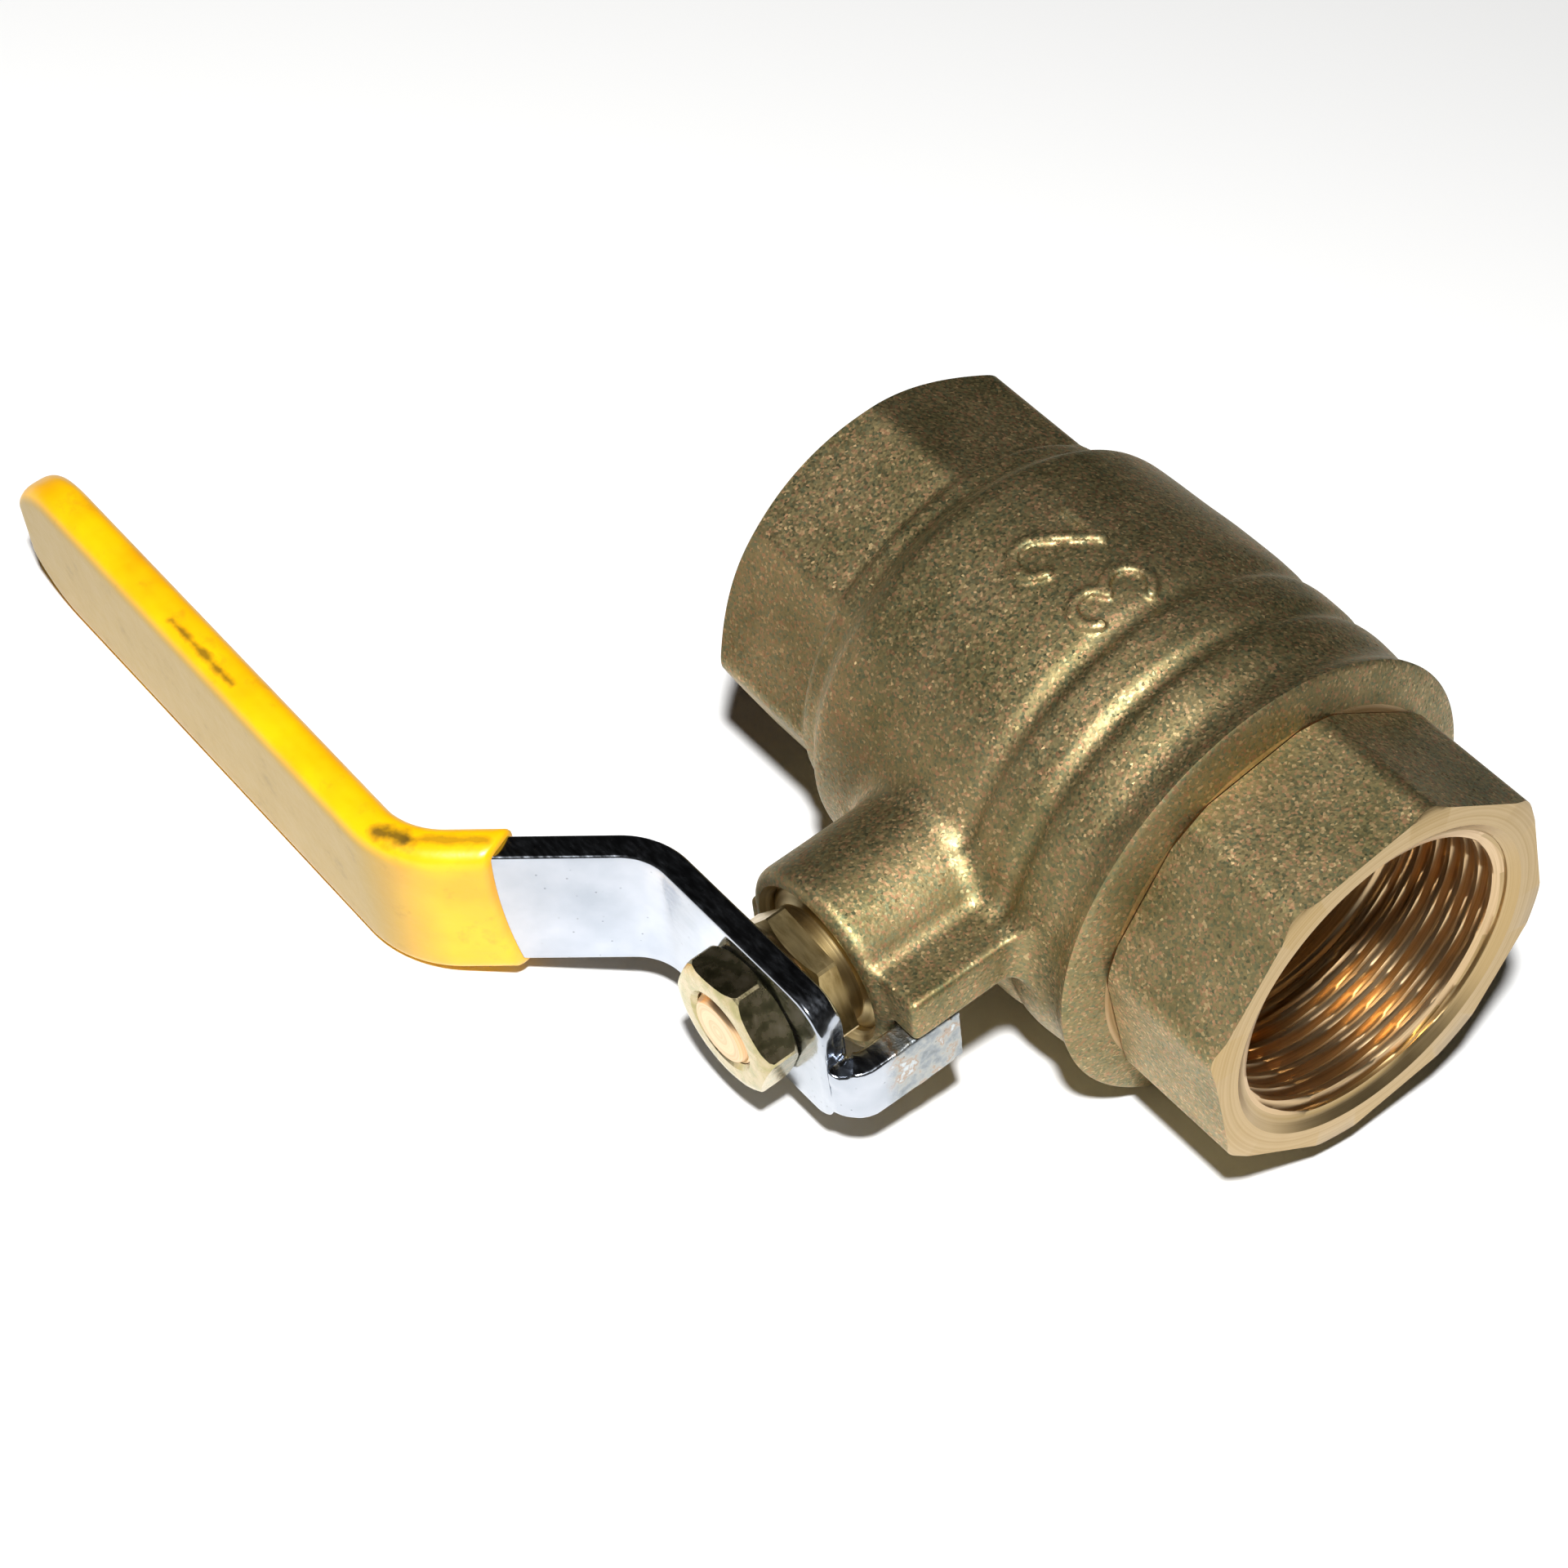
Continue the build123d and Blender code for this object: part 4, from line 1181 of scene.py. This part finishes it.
# ---------------------------------------------------------------- lever and grip
@dataclass
class Strip:
    """Stations along a bent strip: points (x, t), the normals to its faces and the length so far, in mm."""

    points: Array
    normals: Array
    lengths: Array

    @classmethod
    def bend(cls, corners: Sequence[tuple[float, float]], radii: Sequence[float], step: float) -> "Strip":
        """Lays a strip along corners, each rounded to a radius.

        Args:
            corners: Corners of the path in the plane of the pipe and the stem.
            radii: Bend radius at each inner corner.
            step: Longest distance between stations.

        Returns:
            The strip.
        """
        path = [Vector(corners[0])]
        for before, corner, after, radius in zip(corners, corners[1:], corners[2:], radii):
            corner = Vector(corner)
            back = (Vector(before) - corner).normalized()
            on = (Vector(after) - corner).normalized()
            half = back.angle(on) / 2
            centre = corner + (back + on).normalized() * (radius / math.sin(half))
            start = corner + back * (radius / math.tan(half)) - centre
            sweep = start.angle_signed(corner + on * (radius / math.tan(half)) - centre)
            count = max(6, round(abs(sweep) * radius / 0.6))
            for k in range(count + 1):
                path.append(centre + Matrix.Rotation(-sweep * k / count, 2) @ start)
        path.append(Vector(corners[-1]))
        stations = [path[0]]
        for a, b in zip(path, path[1:]):
            pieces = max(1, math.ceil((b - a).length / step))
            stations += [a.lerp(b, (k + 1) / pieces) for k in range(pieces)]
        points = np.array([tuple(p) for p in stations])
        keep = np.concatenate(([True], np.linalg.norm(np.diff(points, axis=0), axis=1) > 1e-4))
        points = points[keep]
        tangents = np.gradient(points, axis=0)
        ahead = np.diff(points, axis=0)
        ahead /= np.linalg.norm(ahead, axis=1)[:, None]
        tangents[1:-1] = ahead[:-1] + ahead[1:]
        tangents[0], tangents[-1] = ahead[0], ahead[-1]
        tangents /= np.linalg.norm(tangents, axis=1)[:, None]
        normals = np.column_stack((-tangents[:, 1], tangents[:, 0]))
        lengths = np.concatenate(([0.0], np.cumsum(np.linalg.norm(np.diff(points, axis=0), axis=1))))
        return cls(points, normals, lengths)

    def at(self, length: float) -> tuple[Array, Array]:
        """Returns the point and the normal at a length along the strip, in a straight line past its ends."""
        k = int(np.clip(np.searchsorted(self.lengths, length) - 1, 0, len(self.lengths) - 2))
        share = (length - self.lengths[k]) / (self.lengths[k + 1] - self.lengths[k])
        point = self.points[k] + share * (self.points[k + 1] - self.points[k])
        blend = min(max(share, 0.0), 1.0)
        normal = (1 - blend) * self.normals[k] + blend * self.normals[k + 1]
        return point, normal / np.linalg.norm(normal)


def strip_section(low: float, high: float, half_thick: float, edge: float) -> Array:
    """Outline of a strip's section with rounded edges.

    Args:
        low: Lower edge across the strip.
        high: Upper edge.
        half_thick: Half the thickness.
        edge: Radius of its four edges.

    Returns:
        Pairs of (across, out), always the same number of points.
    """
    edge = min(edge, half_thick * 0.999, (high - low) * 0.49)
    outline = []
    for cx, cy, start in ((high - edge, half_thick - edge, 90), (low + edge, half_thick - edge, 180),
                          (low + edge, -half_thick + edge, 270), (high - edge, -half_thick + edge, 360)):
        for a in np.radians(np.linspace(start - 90, start, 7)):
            outline.append((cx + edge * math.cos(a), cy + edge * math.sin(a)))
    # corners come in order: upper outer, lower outer, lower inner, upper inner
    dense = []
    for k, (here, there) in enumerate(zip(outline, outline[1:] + outline[:1])):
        dense.append(here)
        if k % 7 == 6:
            count = 14 if k // 7 in (0, 2) else 3
            dense += [tuple(np.array(here) + (np.array(there) - np.array(here)) * (j + 1) / (count + 1))
                      for j in range(count)]
    return np.array(dense)


@dataclass(frozen=True)
class Lever:
    """The pressed steel strip: stop tab, plate at the stem, crank and the run inside the grip, in mm."""

    thick: float = 3.6
    half_width: float = 10.0
    plate: float = 54.6              # middle of the plate, along the stem
    plate_end: float = 12.9
    tab_mid: float = 15.2
    tab_end: float = 39.5
    tab_low: float = -8.0
    tab_high: float = 0.75
    tab_bend: float = 3.2
    crank: tuple[float, float] = (-20.3, -40.9)
    outer_run: float = 77.9
    tip_run: float = 76.8
    tip: float = -125.8
    bend: float = 9.5
    grip_bend: float = 13.0
    edge: float = 0.5
    upper_corner: float = 4.6
    lower_corner: float = 2.6

    def strip(self) -> Strip:
        """Returns the path from the tab's end to the tip."""
        corners = [(self.tab_mid, self.tab_end), (self.tab_mid, self.plate), (self.crank[0], self.plate),
                   (self.crank[1], self.outer_run), (self.tip, self.tip_run)]
        return Strip.bend(corners, (self.tab_bend, self.bend, self.grip_bend), 1.5)

    def edges_at(self, inside: float, left: float) -> tuple[float, float]:
        """Lower and upper edge of the sheared blank.

        Args:
            inside: Distance from the plate's end, negative on the tab.
            left: Distance to the tip.

        Returns:
            The two edges across the strip.
        """
        if inside < 0:
            notch = math.sqrt(max(0.0, 1.0 - (inside + 0.9) ** 2)) if inside > -1.9 else 0.0
            end = max(0.0, 1.2 + inside + self.tab_length) if inside < -self.tab_length + 1.2 else 1.2
            round_off = 1.2 - math.sqrt(max(0.0, 1.44 - (1.2 - end) ** 2))
            return self.tab_low + round_off + 0.3 * notch, self.tab_high - round_off - 0.8 * notch
        upper = self.corner_width(inside, self.upper_corner)
        lower = self.corner_width(inside, self.lower_corner)
        if left < self.half_width:
            tip = math.sqrt(max(0.05, self.half_width ** 2 - (self.half_width - left) ** 2))
            return -tip, tip
        return -lower, upper

    @property
    def tab_length(self) -> float:
        """Length of the blank from the plate's end to the tab's end."""
        return (self.plate - self.tab_bend - self.tab_end) + self.tab_bend * math.pi / 2 - (
            self.plate_end - self.tab_mid + self.tab_bend)

    def corner_width(self, inside: float, radius: float) -> float:
        """Half width of the plate at a distance inside its end, with a rounded corner."""
        if inside >= radius:
            return self.half_width
        return self.half_width - radius + math.sqrt(max(0.0, radius ** 2 - (radius - inside) ** 2))

    def build(self, shop: Shop) -> bpy.types.Object:
        """Shears the blank, bends it and pierces it.

        Args:
            shop: The finishes.

        Returns:
            The piece, riding on the handle.
        """
        strip = self.strip()
        total = strip.lengths[-1]
        near_end = self.tab_length
        extra = near_end + np.concatenate((np.linspace(-2.2, -0.05, 12), (0.0, 0.02), np.linspace(0.2, 2.8, 12)))
        tip_stations = total - self.half_width * (1 - np.cos(np.linspace(0.12, math.pi / 2, 14)))
        stations = np.unique(np.round(np.concatenate((
            np.linspace(0, 1.2, 6), strip.lengths, extra, tip_stations)), 4))
        stations = stations[stations <= total - 0.02]
        rings = []
        for length in stations:
            low, high = self.edges_at(length - near_end, total - length)
            point, normal = strip.at(length)
            section = strip_section(low, high, self.thick / 2, self.edge)
            rings.append([(point[0] + out * normal[0], -(point[1] + out * normal[1]), across)
                          for across, out in section])
        rings = np.array(rings)
        self.tear(rings, stations - near_end)
        points, faces = loft(rings, closed=False)
        piece = new_piece("lever_pressing", points, faces, (shop.zinc,))
        hole = turned("punch", plain_rows([(50.0, 0.01), (50.0, 5.01), (60.0, 5.01), (60.0, 0.01)]), Spin.STEM,
                      (shop.zinc,), bored=False)
        machine(hole, bar("punch_flats", (-9, 9), (49.0, 61.0), (-3.81, 3.81), shop.zinc), Cut.KEEP_INSIDE)
        machine(piece, hole, Cut.TAKE_AWAY)
        shade(piece, 40.0)
        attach(piece, "handle")
        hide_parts("lever")
        return piece

    def tear(self, rings: Array, inside: Array) -> None:
        """Roughens the sheared end and the tab, in place.

        Args:
            rings: The strip's rings of points.
            inside: Each ring's distance from the plate's end, negative on the tab.
        """
        for ring, depth in zip(rings, inside):
            amount = 0.24 if depth < 0.3 else max(0.0, 0.24 * (1 - (depth - 0.3) / 1.5))
            if amount <= 0:
                continue
            for point in ring:
                way = noise.noise_vector(Vector(point) / 1.7) * 0.7 + noise.noise_vector(Vector(point) / 0.7) * 0.3
                point += np.array(way) * amount * 0.7


@dataclass(frozen=True)
class Grip:
    """The vinyl sleeve dipped over the lever's crank and outer run, in mm."""

    skin: float = 1.2
    start: float = 19.0              # along the crank from its lower corner
    edge: float = 2.35
    lever: Lever = Lever()

    def build(self, shop: Shop) -> bpy.types.Object:
        """Dips the sleeve: rounded outside, and inside the lever's own shape.

        Args:
            shop: The finishes.

        Returns:
            The piece, riding on the handle.
        """
        lever = self.lever
        low, high = Vector((lever.crank[0], lever.plate)), Vector((lever.crank[1], lever.outer_run))
        mouth = low + (high - low).normalized() * self.start
        corners = [tuple(mouth), tuple(high), (lever.tip - self.skin + 0.02, lever.tip_run)]
        strip = Strip.bend(corners, (lever.grip_bend,), 2.0)
        total = strip.lengths[-1]
        half, wide = lever.thick / 2 + self.skin, lever.half_width + self.skin
        tip = total - wide * (1 - np.cos(np.linspace(0.02, math.pi / 2, 26)))
        stations = np.unique(np.round(np.concatenate(((0.0, 0.12, 0.3, 0.6), strip.lengths, tip)), 4))
        outer = []
        for length in stations:
            left = max(total - length, 0.0)
            across = math.sqrt(max(0.0, wide ** 2 - max(0.0, wide - left) ** 2)) if left < wide else wide
            lip = 0.55 * (1 - min(1.0, length / 0.6)) ** 2
            nose = 2.6
            thick = half * math.sqrt(max(0.0, 1 - max(0.0, 1 - left / nose) ** 2)) if left < nose else half
            outer.append(self.ring(strip, length, max(across - lip, 0.3), max(thick - lip, 0.05), self.edge))
        inner = [self.ring(strip, length, self.inner_width(total - self.skin - length), lever.thick / 2 + 0.03,
                           lever.edge + 0.05)
                 for length in stations[::-1] if length < total - self.skin - 0.3]
        rings = np.array(outer[::-1] + inner[::-1])
        points, faces = loft(rings, closed=False)
        piece = new_piece("lever_grip_dip", points, faces, (shop.vinyl,))
        shade(piece, 50.0)
        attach(piece, "handle")
        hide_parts("lever_grip")
        return piece

    def inner_width(self, left: float) -> float:
        """Half width of the sleeve's hollow, given the distance to the lever's tip."""
        radius = self.lever.half_width + 0.03
        if left >= radius:
            return radius
        return math.sqrt(max(0.3, radius ** 2 - (radius - max(left, 0.0)) ** 2))

    def ring(self, strip: Strip, length: float, across: float, thick: float, edge: float) -> list:
        """Points of the sleeve's section at a length; its mouth follows the oblique line of the dip.

        Args:
            strip: The path.
            length: Length along it.
            across: Half width there.
            thick: Half thickness.
            edge: Radius of the edges.

        Returns:
            The ring.
        """
        ring = []
        for w, out in strip_section(-across, across, thick, edge):
            level = 0.07 * w + 0.8 * (1 - (w / 11.2) ** 2) - 0.5 * (3.0 + out)
            point, normal = strip.at(length + level * max(0.0, 1 - length / 10.0))
            ring.append((point[0] + out * normal[0], -(point[1] + out * normal[1]), w))
        return ring


# ---------------------------------------------------------------- studio
@dataclass(frozen=True)
class Studio:
    """The floor, the light and the camera, in mm and degrees."""

    azimuth: float = 45.49
    elevation: float = 41.30
    roll: float = 8.99
    distance: float = 530.03
    aim: tuple[float, float, float] = (-23.103, -32.843, -7.451)
    lens: float = 100.17
    sensor: float = 36.0
    key_distance: float = 900.0
    key_lift: float = 0.25           # how far above the camera's line the key light stands, as a share
    key_size: float = 75.0
    key_power: float = 15.0

    def view_axes(self) -> Matrix:
        """Returns the camera's right, up and back directions as a matrix's columns."""
        az, el = math.radians(self.azimuth), math.radians(self.elevation)
        back = Vector((math.cos(el) * math.sin(az), -math.cos(el) * math.cos(az), math.sin(el)))
        right = Vector((0, 0, 1)).cross(back).normalized()
        up = back.cross(right)
        turn = Matrix.Rotation(math.radians(self.roll), 3, back)
        return Matrix((turn @ right, turn @ up, back)).transposed()

    def camera(self) -> None:
        """Sets the camera."""
        axes = self.view_axes()
        lens = bpy.data.cameras.new("camera")
        lens.lens, lens.sensor_width = self.lens, self.sensor
        lens.clip_start, lens.clip_end = 0.01, 20.0
        camera = bpy.data.objects.new("camera", lens)
        place = Vector(self.aim) + axes.col[2] * self.distance
        camera.matrix_world = Matrix.Translation(place * MM) @ axes.to_4x4()
        bpy.context.scene.collection.objects.link(camera)
        bpy.context.scene.camera = camera

    def area(self, name: str, away: Vector, distance: float, size: float, power: float, colour: str) -> None:
        """Hangs an area light that faces the aim point.

        Args:
            name: The light's name.
            away: Direction from the aim point to the light.
            distance: How far it is, in mm.
            size: Its width, in mm.
            power: Its power in watts.
            colour: Its hex colour.
        """
        light = bpy.data.lights.new(name, "AREA")
        light.shape, light.size, light.energy = "DISK", size * MM, power
        light.color = srgb(colour)[:3]
        lamp = bpy.data.objects.new(name, light)
        away = away.normalized()
        lamp.matrix_world = (Matrix.Translation((Vector(self.aim) + away * distance) * MM)
                             @ away.to_track_quat("Z", "Y").to_matrix().to_4x4())
        bpy.context.scene.collection.objects.link(lamp)

    def floor(self) -> None:
        """Lays the pale floor under the lowest point of the valve."""
        bm = bmesh.new()
        bmesh.ops.create_grid(bm, x_segments=8, y_segments=8, size=1.6)
        mesh = bpy.data.meshes.new("floor")
        bm.to_mesh(mesh)
        bm.free()
        floor = bpy.data.objects.new("floor", mesh)
        floor.location = (0, 0, CAD_BOX[0][2])
        paper = bpy.data.materials.new("paper_matt_white")
        paper.use_nodes = True
        shader = paper.node_tree.nodes["Principled BSDF"]
        shader.inputs["Base Color"].default_value = srgb("#f8f8f7")
        shader.inputs["Roughness"].default_value = 0.9
        mesh.materials.append(paper)
        bpy.context.scene.collection.objects.link(floor)

    def surroundings(self) -> None:
        """Sets a dim room, darker overhead than at the horizon, behind a pale backdrop."""
        world = bpy.data.worlds.new("studio")
        bpy.context.scene.world = world
        world.use_nodes = True
        tree = world.node_tree
        tree.nodes.clear()
        ways = add_node(tree, "ShaderNodeSeparateXYZ", {"Vector": add_node(tree, "ShaderNodeTexCoord").outputs["Generated"]})
        room = add_node(tree, "ShaderNodeValToRGB", {"Fac": ways.outputs["Z"]},
                        stops=((0.0, "#5c5a55"), (0.7, "#121110"), (0.35, "#34322f")))
        dim = add_node(tree, "ShaderNodeBackground", {"Color": room.outputs["Color"], "Strength": 1.0})
        pale = add_node(tree, "ShaderNodeBackground", {"Color": srgb("#f4f3f1"), "Strength": 1.0})
        sight = add_node(tree, "ShaderNodeLightPath")
        mix = add_node(tree, "ShaderNodeMixShader", {0: sight.outputs["Is Camera Ray"], 1: dim.outputs[0],
                                                     2: pale.outputs[0]})
        add_node(tree, "ShaderNodeOutputWorld", {"Surface": mix.outputs[0]})

    def build(self) -> None:
        """Sets the whole studio."""
        axes = self.view_axes()
        self.camera()
        self.floor()
        self.surroundings()
        self.area("key", axes.col[2] + axes.col[1] * self.key_lift, self.key_distance, self.key_size, self.key_power,
                  "#ffffff")
        view = bpy.context.scene.view_settings
        view.view_transform = "Standard"


# ---------------------------------------------------------------- assembly
def dress(node: str, finish: bpy.types.Material) -> None:
    """Gives a carried-over node its finish."""
    mesh = frame["nodes"][node].data
    mesh.materials.clear()
    mesh.materials.append(finish)
    LOG.info("%s: %s", node, finish.name)


def main() -> None:
    """Builds every sub-assembly in order and reports each piece."""
    logging.basicConfig(level=logging.INFO, format="%(message)s")
    shop = Shop()
    for part in (Body(), EndConnector(), GlandNut(), Stem(), Lever(), Grip(), LeverNut()):
        piece = part.build(shop)
        LOG.info("%s: %d faces", piece.name, len(piece.data.polygons))
    dress("ball", shop.chrome)
    for node in ("seat_ring_far", "seat_ring_near", "stem_thrust_washer", "packing_ring_lower", "packing_ring_upper"):
        dress(node, shop.ptfe)
    dress("stem_o_ring", shop.nitrile)
    Studio().build()


if __name__ == "__main__":
    main()
